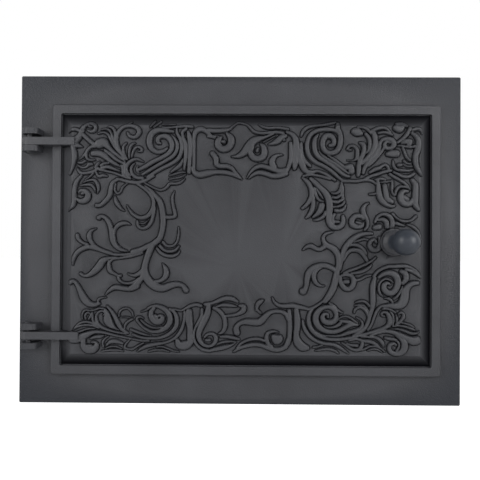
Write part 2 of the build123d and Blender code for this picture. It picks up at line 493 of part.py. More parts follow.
def make_pin(hinge):
    """A plain pin with a hammered head at each end, against the ears."""
    with BuildPart() as pin:
        with BuildSketch(Plane(origin=(pin_x, height(PIN_HEIGHT), 0), x_dir=(1, 0, 0), z_dir=(0, -1, 0))):
            with BuildLine():
                bottom_centre = (0, hinge.bottom - PIN_HEAD_HEIGHT)
                bottom_rim = (PIN_HEAD_RADIUS, hinge.bottom)
                top_rim = (PIN_HEAD_RADIUS, hinge.top)
                top_centre = (0, hinge.top + PIN_HEAD_HEIGHT)
                Polyline(
                    bottom_centre,
                    (PIN_HEAD_FLAT, bottom_centre[1]),
                    bottom_rim,
                    (PIN_DIAMETER / 2, hinge.bottom),
                    (PIN_DIAMETER / 2, hinge.top),
                    top_rim,
                    (PIN_HEAD_FLAT, top_centre[1]),
                    top_centre,
                    close=True,
                )
            make_face()
        revolve(axis=Axis((pin_x, height(PIN_HEIGHT), 0), (0, 0, 1)))
    pin.part.label = f"hinge_pin_{hinge.name}"
    export_step(pin.part, f"parts/{pin.part.label}.step")


for hinge in hinges:
    make_pin(hinge)

# Knob: foot disc, waisted neck and a ball-like head that is a little longer than wide
knob_axis = Axis((knob_x, 0, knob_z), (0, 1, 0))
knob_side = Plane(origin=(knob_x, height(boss_top + KNOB_GAP), knob_z), x_dir=(1, 0, 0), z_dir=(0, 0, 1))
with BuildPart() as knob:
    with BuildSketch(knob_side):
        with BuildLine():
            foot = Polyline(
                (0, 0), (FOOT_RADIUS, 0), (FOOT_RADIUS, -FOOT_SIDE), (FOOT_TOP_RADIUS, -FOOT_THICKNESS)
            )
            foot_cone = Line(foot @ 1, (NECK_RADIUS, -NECK_START))
            rear_centre = HEAD_DISTANCE - KNOB_GAP - HEAD_BAND / 2
            front_centre = rear_centre + HEAD_BAND
            neck_angle = asin(NECK_RADIUS / HEAD_RADIUS)
            neck_end = rear_centre - HEAD_RADIUS * cos(neck_angle)
            waist = (WAIST_RADIUS, -(NECK_START + neck_end) / 2)
            profile = [foot_cone @ 1, waist]
            for i in range(HEAD_REAR_FACETS + 1):
                angle = neck_angle + (pi / 2 - neck_angle) * i / HEAD_REAR_FACETS
                profile.append((HEAD_RADIUS * sin(angle), HEAD_RADIUS * cos(angle) - rear_centre))
            for i in range(HEAD_FRONT_FACETS + 1):
                angle = pi / 2 * (1 - i / HEAD_FRONT_FACETS)
                profile.append((HEAD_RADIUS * sin(angle), -HEAD_RADIUS * cos(angle) - front_centre))
            head = Polyline(*profile)
            Line(head @ 1, foot @ 0)
        make_face()
    revolve(axis=knob_axis)
    with BuildSketch(knob_plane(boss_top + KNOB_GAP)):
        Circle(SPINDLE_DIAMETER / 2 + THREAD_CLEARANCE)
    extrude(amount=KNOB_BORE_DEPTH, mode=Mode.SUBTRACT)

knob.part.label = "knob"
export_step(knob.part, "parts/knob.step")

# Latch behind the leaf, stacked from the back boss towards the oven
washer_front = -BACK_BOSS_END - KNOB_GAP
blade_front = washer_front - WASHER_THICKNESS
nut_front = blade_front - BLADE_THICKNESS
lock_nut_front = nut_front - NUT_THICKNESS
spindle_back = lock_nut_front - LOCK_NUT_THICKNESS - SPINDLE_END
spindle_front = boss_top + KNOB_GAP + KNOB_BORE_DEPTH - SPINDLE_SPARE

with BuildPart() as spindle:
    with BuildSketch(knob_plane(blade_front)):
        Circle(SPINDLE_DIAMETER / 2)
    extrude(amount=spindle_front - blade_front)
    chamfer(spindle.faces().sort_by(Axis.Y)[0].edges(), SPINDLE_CHAMFER)
    with BuildSketch(knob_plane(nut_front)):
        Rectangle(BLADE_SQUARE, BLADE_SQUARE)
    extrude(amount=BLADE_THICKNESS)
    with BuildSketch(knob_plane(spindle_back)):
        Circle(END_DIAMETER / 2)
    extrude(amount=nut_front - spindle_back)
    chamfer(spindle.faces().sort_by(Axis.Y)[-1].edges(), SPINDLE_CHAMFER)

spindle.part.label = "spindle"
export_step(spindle.part, "parts/spindle.step")

with BuildPart() as spindle_washer:
    with BuildSketch(knob_plane(blade_front)):
        Circle(WASHER_RADIUS)
        Circle(SPINDLE_DIAMETER / 2 + THREAD_CLEARANCE, mode=Mode.SUBTRACT)
    extrude(amount=WASHER_THICKNESS)

spindle_washer.part.label = "spindle_washer"
export_step(spindle_washer.part, "parts/spindle_washer.step")

mouth_right = mouth_x + MOUTH_WIDTH / 2
blade_reach = mouth_right + BLADE_CATCH - knob_x
with BuildPart() as latch_blade:
    with BuildSketch(knob_plane(nut_front)):
        with BuildLine():
            tip_z = BLADE_TIP_RADIUS - blade_reach
            hub_left = (-BLADE_HUB_RADIUS, 0)
            hub_right = (BLADE_HUB_RADIUS, 0)
            tip_left = (-BLADE_TIP_RADIUS, tip_z)
            tip_right = (BLADE_TIP_RADIUS, tip_z)
            RadiusArc(hub_left, hub_right, BLADE_HUB_RADIUS)
            Line(hub_right, tip_right)
            RadiusArc(tip_right, tip_left, BLADE_TIP_RADIUS)
            Line(tip_left, hub_left)
        make_face()
        square = BLADE_SQUARE + 2 * BLADE_SQUARE_CLEARANCE
        Rectangle(square, square, mode=Mode.SUBTRACT)
    extrude(amount=BLADE_THICKNESS)

latch_blade.part.label = "latch_blade"
export_step(latch_blade.part, "parts/latch_blade.step")


def make_nut(name, front, thickness):
    """A hexagon nut on the spindle's end."""
    with BuildPart() as nut:
        with BuildSketch(knob_plane(front - thickness)):
            RegularPolygon(NUT_ACROSS_FLATS / 2, 6, major_radius=False)
            Circle(END_DIAMETER / 2 + THREAD_CLEARANCE, mode=Mode.SUBTRACT)
        extrude(amount=thickness)
    nut.part.label = name
    export_step(nut.part, f"parts/{name}.step")


make_nut("latch_nut", nut_front, NUT_THICKNESS)
make_nut("latch_lock_nut", lock_nut_front, LOCK_NUT_THICKNESS)
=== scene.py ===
import math

import bmesh
import bpy
import numpy as np
from mathutils import Matrix, Vector


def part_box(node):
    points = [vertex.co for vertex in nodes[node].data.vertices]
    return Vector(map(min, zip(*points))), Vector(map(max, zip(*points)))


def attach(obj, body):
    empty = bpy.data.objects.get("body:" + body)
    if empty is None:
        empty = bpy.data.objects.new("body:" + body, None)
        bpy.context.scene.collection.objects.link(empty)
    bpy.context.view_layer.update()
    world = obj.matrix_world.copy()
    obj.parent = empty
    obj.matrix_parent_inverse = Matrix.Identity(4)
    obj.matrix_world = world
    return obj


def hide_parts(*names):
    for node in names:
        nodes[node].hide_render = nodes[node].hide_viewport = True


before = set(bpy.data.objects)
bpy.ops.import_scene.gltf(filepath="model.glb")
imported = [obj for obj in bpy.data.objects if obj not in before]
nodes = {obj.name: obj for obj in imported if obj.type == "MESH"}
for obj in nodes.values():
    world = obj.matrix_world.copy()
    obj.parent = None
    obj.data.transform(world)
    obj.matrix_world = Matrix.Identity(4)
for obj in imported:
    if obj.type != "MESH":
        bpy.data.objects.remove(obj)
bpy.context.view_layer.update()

MM = 0.001

# The leaf's own measures, in millimetres about its centre: u to the right, v up, height out of the flange
frame_low, frame_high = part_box("frame")
leaf_low, leaf_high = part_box("door_leaf")
FLANGE_FRONT = -6.0
RIM_WIDTH = 9.2
GROOVE_WIDTH = 0.8
BEVEL_WIDTH = 12.5
BEVEL_RISE = 8.5
GROOVE_FLOOR = 3.0
FIELD_TOP = GROOVE_FLOOR + BEVEL_RISE
BOSS_RADIUS = 14.0
BOSS_TOP = 14.0
BORE_RADIUS = 4.3
HEAD_RADIUS = 12.4
HEAD_BAND = 2.4
BACK_BOSS_RADIUS = 11.0
PIN_OFFSET = 21.4
STRAP_WIDTH = 7.4
UPPER_STRAP_REACH = 47.0
LOWER_STRAP_REACH = 52.0
LEAF_HALF_HEIGHT = leaf_high.z / MM
LEAF_RIGHT = leaf_high.x / MM
LEAF_CENTRE_X = 6.0
LEAF_HALF_WIDTH = LEAF_RIGHT - LEAF_CENTRE_X
PANEL_HALF_WIDTH = LEAF_HALF_WIDTH - RIM_WIDTH - GROOVE_WIDTH
PANEL_HALF_HEIGHT = LEAF_HALF_HEIGHT - RIM_WIDTH - GROOVE_WIDTH

# Strokes of the carved scrolls: points of (u, v, half width) along each ridge
STROKES = (
    ((-190,98,3.7), (-176,98,4), (-169.5,100.5,3.6), (-166,105.5,2.4), (-165,110,1.8), (-164,114.5,0.5)),
    ((-166,107,1.8), (-161,102.5,2.2), (-155.5,97.5,2.2), (-150,93.8,2)),
    ((-166,108,1.6), (-170,110,1.9), (-175,109.8,1.6), (-179,107.5,0.5)),
    ((-176,97,3.6), (-170,94.3,2.8), (-163.5,92.5,0.5)),
    ((-176,97,2.6), (-173.5,91,2.8), (-172,84,3), (-172.8,77,2.2), (-174.5,71,1.7), (-177,66.3,1.9)),
    ((-163.5,108,1.2), (-162,113,1.7), (-156.5,116.6,1.8), (-151.5,114,1.9), (-151.5,109.5,1.9),
     (-155.5,107.8,1.5), (-158.8,109.3,1)),
    ((-157.8,113.2,1.1), (-155,112.6,1.1)),
    ((-147,95.8,5), (-142.5,97,4.6), (-137.8,92,2.4), (-131,86,1.8), (-122,79.5,1.1)),
    ((-148,106,0.9), (-143,107.2,1.1), (-138.3,105,1.4), (-134.8,98.5,1.6), (-130,90.5,1.4),
     (-120.5,80,0.8)),
    ((-145,110,0.7), (-140,110.6,1.1), (-136.2,108.2,1.2), (-133,100.5,1.4), (-128.5,91,1.2), (-121,82,0.7)),
    ((-138.5,112.4,0.9), (-135.2,112.6,1.4), (-132,109.5,1.7), (-131,103,1.5), (-130,96,1.4),
     (-126,87.5,1.2), (-120,80.5,0.7)),
    ((-141.5,89.2,1.5), (-136,85.2,1.9), (-129.5,79.8,1.8), (-122.5,76,1.3)),
    ((-133.5,87,0.8), (-127.5,82.2,1), (-121.5,78.2,0.7)),
    ((-150,93.4,1.8), (-156,92,1.8), (-160,87,1.7), (-159.8,81.8,1.4), (-156.5,79.3,1.2), (-151.5,79.5,0.8)),
    ((-161,86,1.3), (-164,82.3,1.1), (-167.3,80,0.6)),
    ((-153,86,3), (-147.5,86,3.2), (-142.5,84,3.2), (-137,79.5,2.4), (-130.5,75.3,1.8), (-126,73,0.8)),
    ((-168,76.8,1.1), (-164.5,76.5,1.4), (-161,78.5,1.2)),
    ((-168.5,74.2,0.7), (-164,71.6,1.2), (-159.5,72.6,1.2), (-157.5,75,1.8), (-154.8,75.3,1.6)),
    ((-151,72,1.4), (-148.5,75.5,1.6), (-146.5,77.5,0.9)),
    ((-145.5,74,1.4), (-141.5,76,1.6), (-137.5,76.2,1)),
    ((-144.5,71.5,1.6), (-138,72.5,2), (-131.5,70.2,1.4), (-126,68.3,0.8)),
    ((-169,70.5,1), (-165.5,66.5,1.6), (-159,66.4,1.6), (-152.5,68.2,1.6), (-148,71,1.6)),
    ((-146.5,70,1.8), (-140,68.3,1.3), (-132,66.5,1.2), (-124,63.5,1.2), (-118,61,1)),
    ((-125,74.5,1), (-123.6,71.5,1.5), (-121.8,67,1.3), (-118.5,63.5,0.8)),
    ((-121.5,77,1.2), (-120.3,72.5,1.5), (-118.5,67.5,1.2), (-115.5,64,0.8)),
    ((-150.5,67.5,1.1), (-147.5,63,1.5), (-143.5,64,1.7), (-139.5,63.3,1.2)),
    ((-152.5,66.5,0.9), (-156,63,1), (-161,59.5,0.8)),
    ((-165,63.5,1.4), (-169.5,58,2.2), (-171.8,50,2.4), (-171.8,41,2.4), (-173,34,2.2), (-178.5,28.5,0.6)),
    ((-169,40,1.5), (-165,38,2.6), (-160,39.5,3.2), (-158,44,3), (-160.5,48.2,2.4), (-165,48.8,1.8),
     (-167.3,46.5,1.1)),
    ((-164,45.5,1.6), (-162.5,46,1.5)),
    ((-163,57,0.7), (-157,59,1.1), (-152,59.3,1.6), (-148.8,55.5,1.8), (-147.6,50.5,1.5), (-149,45.8,0.5)),
    ((-166,53.5,0.7), (-160,54.6,1.4), (-154.5,54,1.6), (-151.3,50,1.2), (-150.8,47,0.5)),
    ((-124,60.5,1.1), (-129,59.5,1.5), (-133.5,56.5,2.1), (-135.3,50,2.5), (-136.3,44,2.5),
     (-140.5,38.5,2.3), (-145.5,34,2), (-149,33.8,2.2)),
    ((-130.5,55.5,0.9), (-131.3,49.5,1.1), (-128.5,45.8,1.2), (-125.5,47.5,1.1), (-123.5,52,1.1),
     (-119,56,0.8)),
    ((-131,42.5,1.1), (-129.5,37,2.2), (-125.5,31.5,1.7), (-121.5,28.5,0.6)),
    ((-119,34,0.6), (-114.5,27,1.5), (-109,22.8,1.9), (-103,21.6,2.2), (-97,24.5,2.3), (-93,31,2.2),
     (-92.3,38,2), (-95,44.5,1.7), (-101,50.5,1.6), (-108,55.3,1.5), (-114,58.5,1.2)),
    ((-101,53.8,0.9), (-95.5,49.5,1.5), (-90.5,44,2.2), (-86,38,2.9), (-83.6,30,3), (-82.5,20,3),
     (-83.3,10,2.8), (-85.5,2,2.8), (-88.5,-1.5,2.9), (-93,-4.8,2.8), (-98.5,-7.2,2.6), (-105,-10.5,2.8),
     (-112,-13,3.4)),
    ((-108.5,18.5,1.1), (-107.5,13.5,1.6), (-103.5,11,1.5), (-98.5,12.5,1.8), (-94.5,17.5,1.9),
     (-92.3,25,1.7), (-90.5,32,0.9)),
    ((-106,16.4,0.6), (-102,15.8,0.9), (-98.5,18.5,0.7)),
    ((-147,21.5,2.5), (-144.5,23,1.9), (-140.5,21.5,2.1), (-137,17,2.5), (-134.7,10.5,2.6), (-133.3,3,3.2),
     (-131.5,-4,2.9), (-126,-9.5,2.1), (-119,-11.8,1.1)),
    ((-131.5,5,1.1), (-130.5,10.5,1.7), (-126.5,14.8,2.3), (-120.5,16.3,2), (-115,14.8,0.5)),
    ((-149.5,10.8,0.5), (-154.5,8.3,1.6), (-156.7,3.5,2.4), (-155.3,-1.5,2.3), (-150.5,-7,1.8),
     (-143,-10.5,1.2), (-134,-13.2,0.7)),
    ((-112,-14,1.5), (-122,-15.3,1.5), (-131,-15.2,1.5), (-140,-12.9,1.6), (-149,-9.8,1.8), (-157,-7.8,2.5),
     (-164,-10,2.5), (-169.5,-14.5,2.2), (-172.3,-20.5,1.8), (-172.8,-26,0.6)),
    ((-168.5,4,1.9), (-167.5,0.5,2.1), (-163.5,-3.2,1.6), (-158,-5.5,1.5)),
    ((-129,-18,0.9), (-136,-18.8,1.6), (-142.5,-21.5,3.3), (-146,-26.5,3.8), (-150.5,-31.5,3.3),
     (-156.5,-36,2.2), (-161.5,-36.8,1.5), (-164.5,-34.7,1.8)),
    ((-136.5,-21.8,1.3), (-136.5,-27,2.3), (-135,-32,2.2), (-130,-34.8,1.4), (-127,-36.8,1.3)),
    ((-124.8,-36.3,1.6), (-127,-37.5,1.4), (-126,-40.8,1.6), (-121.5,-43.6,1.3), (-116,-43.9,1.5),
     (-110.5,-42,1.4), (-106,-38.5,1.3)),
    ((-104,-13.5,1.8), (-114,-16.8,1.4), (-124,-18.5,1.3), (-132,-19.8,1.2), (-136,-23,1.3)),
    ((-117.5,-34,0.6), (-114.5,-35.6,1.2), (-109.5,-36,1.8), (-104.5,-33.5,2.1)),
    ((-139.8,-55.5,0.6), (-136,-51.5,1.7), (-130,-48,2.6), (-122,-49,2.6), (-114,-49.5,2.5), (-108,-47,2.5)),
    ((-175.5,-43.5,2.4), (-172,-41.9,1.9), (-168.3,-45.5,2.1), (-165,-52,2.8), (-161.5,-59,3.7),
     (-156.5,-64.3,3.4), (-150.5,-65.5,2.3), (-146,-64.3,1.6)),
    ((-147.5,-63,1.1), (-146.5,-60,1.2), (-143,-58.6,0.9), (-139,-58.3,0.5)),
    ((-140,-70.3,1.3), (-137.5,-75,2.5), (-137.5,-80.5,4.4), (-134.5,-85.3,3.4), (-129.5,-89,1.1),
     (-126,-90.7,0.5)),
    ((-157,-71.6,0.8), (-151,-70.9,1), (-146,-69,1), (-141,-69.6,1)),
    ((-149,-79,1.4), (-148.6,-75.5,1.2), (-145.5,-72.3,1.1), (-141.5,-72,1.1), (-139.9,-74.6,1.1),
     (-142.3,-76,0.7)),
    ((-149,-79,1.5), (-147.5,-84,1.8), (-142.5,-88.3,1.6), (-135,-91.2,1.2), (-127,-93.2,1),
     (-119,-94.3,0.9)),
    ((-162.8,-79.5,0.8), (-163,-75,1), (-160.5,-71.3,1), (-157,-70.8,0.8)),
    ((-159.6,-80,0.8), (-160,-76,1.1), (-157.5,-73.4,1), (-155.3,-74.7,0.8)),
    ((-156.5,-80,0.9), (-154.5,-77,1.3), (-153,-74,1.2)),
    ((-152.3,-76,0.9), (-152.5,-80,1.3), (-150,-84.5,1.2), (-145.5,-88,0.8)),
    ((-170.5,-88.5,0.6), (-166,-84.6,1.1), (-160,-82.7,1.2), (-154,-83.6,1.2), (-149,-86.2,0.9)),
    ((-172,-90.7,0.6), (-166.5,-87.3,1.1), (-159.5,-85.9,1.1), (-152.5,-86.5,1), (-146,-89,0.7)),
    ((-173.5,-92.7,0.7), (-170,-94,0.9), (-164.5,-92.2,1.1), (-157.5,-89.8,0.9), (-150,-89.3,0.7)),
    ((-190,-96.8,3.8), (-179,-97,3.9), (-172,-100,4.3), (-164.5,-98.6,4.2), (-157,-95,2.8), (-149,-92.6,1.7),
     (-140,-93.6,1.4), (-130,-96,1.2), (-119,-98.3,1.1), (-110,-100,0.9)),
    ((-161.5,-101,2.4), (-161.5,-106.5,3.1), (-157.5,-110.5,3.7), (-151.5,-110,3.9), (-148,-106,2.4),
     (-149.8,-102.9,1.3), (-153.5,-103,0.8)),
    ((-157.5,-106.5,1.5), (-154,-106.4,1.4)),
    ((-155,-99.8,0.7), (-150.5,-98,1.6), (-145.5,-97.5,1.7), (-141.5,-96.5,0.7)),
    ((-136.5,-97,0.7), (-140.5,-99.8,1), (-142.3,-103.5,1.2), (-141.5,-107.5,0.9)),
    ((-138.5,-106,0.9), (-134.5,-102.5,1.9), (-128.5,-102,2.1), (-122.5,-104,1.2)),
    ((-139.5,-109.3,0.6), (-134,-107.2,0.9), (-128.5,-107.2,0.9), (-123.5,-109.3,0.6)),
    ((-143,-112,0.8), (-138,-111.2,1), (-130,-110.6,1), (-122,-111.5,0.8)),
    ((-115.5,-100.5,0.7), (-119,-104.5,1), (-120,-108,1.2), (-115.5,-109.8,1), (-109,-108.3,0.9)),
    ((-126.3,-77,0.8), (-125.5,-72.5,1), (-121.5,-69.3,1), (-117,-69.3,1), (-113.3,-72.3,1),
     (-112,-76.5,0.8)),
    ((-138,-67,1.1), (-133.5,-72,1.7), (-129.5,-78.5,2.1), (-126.5,-84.5,2.3), (-123,-89.8,1.8),
     (-117,-93.6,1.2)),
    ((-120.5,-89.5,0.8), (-119.8,-85.5,1.2), (-116.8,-82,1.3), (-112.5,-79.7,1.1)),
    ((-124.5,-78,0.6), (-119,-77.7,0.7), (-115,-78.5,0.6)),
    ((-73,108.3,1.5), (-80,109,2.1), (-88,109.6,2.8), (-94.5,106,3.2), (-96.8,98.5,3.2), (-94.8,91.5,2.8),
     (-89,87.6,2.2), (-83,88.5,2.1), (-79,91.5,1.4)),
    ((-108,69.5,1.6), (-101,73,2.2), (-92.5,78.2,2.3), (-85,81.7,2.3), (-78,86,2.4), (-74.3,91.5,2.5),
     (-74.8,98,2.8), (-79,103,2.8), (-85.5,103.3,2.2), (-88.5,100.5,2.2), (-88,97,1.9), (-85.8,96.3,1.2)),
    ((-103.5,65,1.4), (-96,69.7,1.8), (-88,74.5,1.9), (-80,79.1,1.9), (-73,83.8,2), (-69.3,89.5,2),
     (-68.8,95.5,2), (-71.5,101.3,1.4), (-75,105,0.6)),
    ((-99,62.5,1.1), (-91.5,67,1.7), (-83.5,71.6,1.9), (-75.5,75.6,2), (-69,80,2.1), (-65.3,86,2.1),
     (-64.3,94,2.1), (-66,101,1.9), (-69,106.5,1.6), (-69.5,110.5,1.2)),
    ((-61.8,70,1), (-60.6,80,2), (-60.2,90,2.2), (-60.8,97,2.1), (-63.2,103,1.6), (-63.5,108,1.7),
     (-60,110.8,1.6)),
    ((-57,67.5,2), (-56.3,80,2.2), (-55.8,92,2.3), (-56.5,102,2.6), (-58,108,1.6)),
    ((-52.3,68,1.8), (-52,78,1.7), (-52,90,1.7), (-52,101,1.9), (-50.5,108,2.6), (-45,110.8,2.8),
     (-39.5,108,2.1), (-35,103.8,1.8), (-31.5,102,1.2)),
    ((-84,112.3,0.8), (-78,112,1.1), (-71.5,112.7,1.1), (-66,113.2,1.4), (-60,113.7,1.6), (-54,113,1.6)),
    ((-84,115.2,0.5), (-78,115.3,0.7), (-71,115.6,0.6)),
    ((-96,112.5,0.7), (-93.5,116,1.2), (-91.5,119.5,0.8)),
    ((-92.5,112.5,0.8), (-88.5,115.8,1.2), (-85.5,119,0.8)),
    ((-75,67.5,0.9), (-70,71.2,1.8), (-65.5,75.2,1.9), (-63,81,0.7)),
    ((-76.5,63.8,0.7), (-71,65.7,1.2), (-65,67.3,1.1), (-61,67.5,0.9)),
    ((-76.5,60.5,0.8), (-71.5,61.3,1), (-65.5,62.6,1), (-60.5,65,0.7)),
    ((-103,57.5,0.8), (-96,53.8,1.1), (-90,50.8,1.1), (-84.5,49.5,1.2), (-79.5,52,1.5), (-76,56,1.5),
     (-70.5,56,1.4), (-65,57.5,1.3), (-61.3,61,0.7)),
    ((-71.5,48.5,0.6), (-73.5,42,1.5), (-72.8,35,1.6), (-71.2,28,1.8), (-70.7,23.5,1.9), (-75,22.4,2),
     (-80,22.4,2)),
    ((-93.5,-6,3), (-96.5,-13,3.3), (-99,-20,3.1), (-100.8,-28,3.3), (-100,-35,3.8), (-96,-42,4.2),
     (-89.5,-47,4.2), (-82,-48.5,3.8), (-75,-46,3.4), (-68,-44.6,2.7), (-62.5,-46,2.2), (-59.3,-50.5,2.9)),
    ((-82.8,-24,0.6), (-80,-28.5,2.2), (-79,-33.5,3), (-80.5,-38,2.6), (-85,-41.2,1.9), (-91,-42.5,1.9)),
    ((-82.5,-2.5,1.5), (-79.5,-5.8,1.4), (-75.3,-6.8,1.4), (-71,-5.2,1.3), (-68,-0.5,1.1), (-66.9,6,1.1),
     (-67,12.5,0.6)),
    ((-85.5,-6.5,1.8), (-81.5,-10.4,1.6), (-76,-11.9,1.6), (-70.5,-10.7,1.5), (-66.5,-6.5,1)),
    ((-88.5,-9,1.4), (-84.5,-13.4,1.8), (-79,-16.1,1.8), (-73,-16.5,1.8), (-68,-14.4,1.3), (-65.5,-11,0.6)),
    ((-114,-48.5,2.6), (-109,-45,2.9), (-104.5,-40,2.6), (-102,-35,2.4)),
    ((-110.5,-36,1.8), (-106.5,-34,2), (-103,-30.5,1.8)),
    ((-91,-68.5,1.6), (-94,-72.5,2.4), (-93.5,-78,2.8), (-89.5,-82,3.2), (-84.5,-81.5,3.2), (-82.3,-78,2.2),
     (-84.5,-75.8,1.5), (-88,-77.3,1.2)),
    ((-90,-76,1.8), (-88,-79.3,1.8)),
    ((-97,-68.5,1), (-91,-66.3,1.4), (-84.5,-67.5,2.2), (-78.5,-71,2.6), (-75.2,-76.5,2.9),
     (-75.2,-82.5,2.9), (-79,-88,2.6), (-85.5,-91.5,2), (-93,-92,1.6), (-100,-89,1.3), (-105,-84.5,1.2),
     (-108.3,-80,1.3), (-106,-77.3,1), (-101.5,-78.8,0.7)),
    ((-75.5,-69,1), (-70.5,-73,1.8), (-68.3,-79,2.3), (-68.5,-85.5,2.3), (-72,-91,2), (-78,-95.5,1.9),
     (-86,-98.3,1.6), (-95,-98.8,1.5), (-104,-97.8,1.3), (-112,-95,1.2)),
    ((-114,-90,1.3), (-107,-92.8,1.3), (-100,-95,1.1), (-94,-96,0.6)),
    ((-112,-99.5,1), (-104,-101,1.2), (-96,-101.4,1)),
    ((-60.5,-72,1.2), (-60.8,-80,1.5), (-63,-88.5,1.8), (-66.8,-95,1.8), (-72.5,-100,1.4), (-80,-103,1.4),
     (-89,-104.5,1.9), (-97.5,-106.3,2), (-104,-109.5,1.3), (-107.5,-112,0.6)),
    ((-113,-110.5,0.9), (-107,-106.5,1), (-101.5,-103.5,0.9)),
    ((-88,-107.3,0.8), (-82.5,-107,1), (-77,-108.8,1), (-71.5,-111,0.9), (-66,-112,0.7)),
    ((-96,-112,0.8), (-90,-110.5,1.1), (-83,-110.2,1), (-76,-111.8,0.8)),
    ((-104,-72.3,0.6), (-98.5,-70.3,1), (-94,-67.3,0.9)),
    ((-104,-80.5,1), (-99.5,-84.5,1.1), (-94,-87.5,1.1), (-88,-88.5,1), (-82.5,-87.3,0.8)),
    ((-75,-69.3,0.9), (-69.5,-69.8,1), (-64.5,-71,1.1), (-60,-69,1.2), (-55,-66.3,1.7), (-49,-64.8,1.8),
     (-44,-66,1.8)),
    ((-36.5,-66,2.6), (-37.5,-73,3.2), (-40.5,-80,3.4), (-44,-87,3.2), (-46.3,-94,2.8), (-45,-100.5,2.3),
     (-40.5,-105.3,1.8), (-34.5,-105.9,1.6), (-30,-102.5,2), (-29,-97.5,2.2), (-32,-94,1.6), (-37,-94.2,1.4),
     (-40.2,-97,1.2)),
    ((-38.5,-100.3,1.6), (-35.3,-100,1.6)),
    ((-43,-69.5,1.6), (-43.5,-76,1.6), (-47,-83,1.5), (-50.3,-90,1.3), (-51,-98,1.4), (-48,-105,1.5),
     (-42,-109.5,1.7), (-35,-110.8,1.6)),
    ((-56,-72,3.4), (-56,-80,3.8), (-54.8,-88,3.2), (-55,-96,3), (-54.5,-102,3.4)),
    ((-67.5,-101,2.4), (-65.5,-105.5,3.6), (-60,-105.5,4.6), (-56,-104,3.6)),
    ((-31,-68,1.8), (-26,-70.8,2.2), (-22,-75.5,2.2), (-20,-81,2.3), (-20,-87,2.3), (-22.5,-92,1.6),
     (-26,-93.5,0.9)),
    ((-24,-96.8,1.3), (-18,-96.5,1.8), (-12,-97.5,1.8), (-6,-99,1.2)),
    ((-27.5,-104,0.9), (-21.5,-101.9,1.2), (-14.5,-101.4,1.1), (-9,-101.8,0.7)),
    ((-34,-110.3,1.6), (-27,-108.7,2.2), (-19.5,-106.8,2.2), (-13.5,-105,1.3), (-9.5,-102.5,0.6)),
    ((-5.5,-65.5,1.4), (-1.5,-66.5,2.6), (-2,-70.5,2.8), (-7,-73.8,1.9), (-13,-75.3,1.6), (-19.5,-76,1.2)),
    ((11.5,-64.5,1.2), (11.8,-69,1.4), (15.5,-72.8,1.2)),
    ((-8,-92.5,3.2), (-8.8,-88,2.8), (-5.5,-83.5,2.2), (0.5,-81.5,3), (8,-82,3.6), (14.5,-81.5,3.6),
     (19,-77.5,3.2), (23.5,-73,2.4), (29,-71,2), (35.5,-71.2,2), (40.5,-73.5,2.2), (43,-78.5,2.2)),
    ((-8,-107.5,0.9), (-3.5,-103,1.4), (2,-100.2,1.5), (8.5,-98.6,1.6), (14.5,-98.8,1.6), (20,-100.5,1.4)),
    ((-11,-111.5,1), (-5.5,-108,1.7), (1.5,-105.5,2), (9,-104.2,2.2), (16,-104.8,2.2), (22,-107,2.2),
     (28.5,-109,2.4), (35,-108.8,2.4), (40.5,-105.5,2.2), (42.8,-99,1.8)),
    ((33.5,-91.8,0.6), (28,-90.9,1.3), (23,-92.8,1.8), (21.5,-97.5,2.2), (23,-103,2.2), (27,-106.5,1.6)),
    ((29,-96.5,3), (32,-99.5,5), (34,-98,4)),
    ((-38,109.5,2.2), (-30,109,2.4), (-22,109.5,2.2), (-16.5,110.8,1.4), (-12.5,114.3,1.1), (-8,117.6,1.1),
     (-3,117,1.1), (2,114.6,1.2), (5.5,110.8,1.4), (9,108,1.6), (16,106.8,1.5), (23,107.5,1.6), (30,108,1.6),
     (37,107,1.8)),
    ((13,115.5,0.8), (17.5,113,1.2), (24,112,1.4), (32,112.5,1.3), (42,111,1.4)),
    ((-19,106.5,1.6), (-15.2,102,3.4), (-15,96.5,3.5), (-18.5,91.8,3.5), (-24,91,3.5), (-28,95,3.5),
     (-27.5,100,2.8), (-24.5,103,1.2)),
    ((-23.3,98.3,1.9), (-21.8,98,1.8)),
    ((-38,103.5,1.2), (-34,103.3,1.7), (-29.5,103.6,1), (-26.5,104,0.4)),
    ((-14.5,83.2,0.6), (-8,83.8,2.2), (-2,87.5,3.6), (2.5,93.5,4.2), (7.5,99,4), (13.5,101.5,2.8),
     (20,103.3,1.5), (27,106.3,1.2)),
    ((6,93,2.6), (4.5,88,2.8), (7,83,3.2), (12,81.3,3.2), (17,83.5,3.4), (18.5,89,3.2), (17,94,2.4),
     (14.5,96,0.9)),
    ((11.2,89,1.7), (11.8,91.5,1.4)),
    ((17.5,98,0.7), (23,101,0.8), (29,104.3,0.7)),
    ((23,95.8,1), (27.5,97,2.2), (32,99.5,3.2), (35,102.5,2.8), (39.5,104.3,2)),
    ((37.9,99.9,1.3), (38.3,100.1,1.3)),
    ((36.5,85.3,0.7), (31.5,84.8,1.6), (27.5,82,2.6), (26,77.5,3.2), (28,73,3.2)),
    ((-33.5,86.5,2.6), (-30,81.5,2.8), (-29.5,76,2.6), (-26,73.8,2.6), (-20,73.8,2.6), (-14.5,71.8,2.2),
     (-10.5,67.5,1.6), (-6.5,63.5,1.2), (-4,60.5,0.6)),
    ((-53,72,2), (-51.5,67.5,2.6), (-46.5,65,3.4), (-39,66.5,3.4), (-31,67.7,2.4), (-24,67.8,2.4),
     (-17,66.8,2.3), (-11,64.5,1.8), (-6,61.5,0.9)),
    ((1,62,0.7), (4.5,67.5,1.4), (9,71.8,2), (15,74,2.4), (22,72.5,2.4), (28,70.5,2.6), (34,69,2.6),
     (40,70,2.6)),
    ((3,61.5,0.8), (7.5,65.5,1.8), (13,67.5,2.4), (19.5,66.5,2.6), (26,64.3,2.6), (33,64.3,2.6),
     (40,66.5,2.6)),
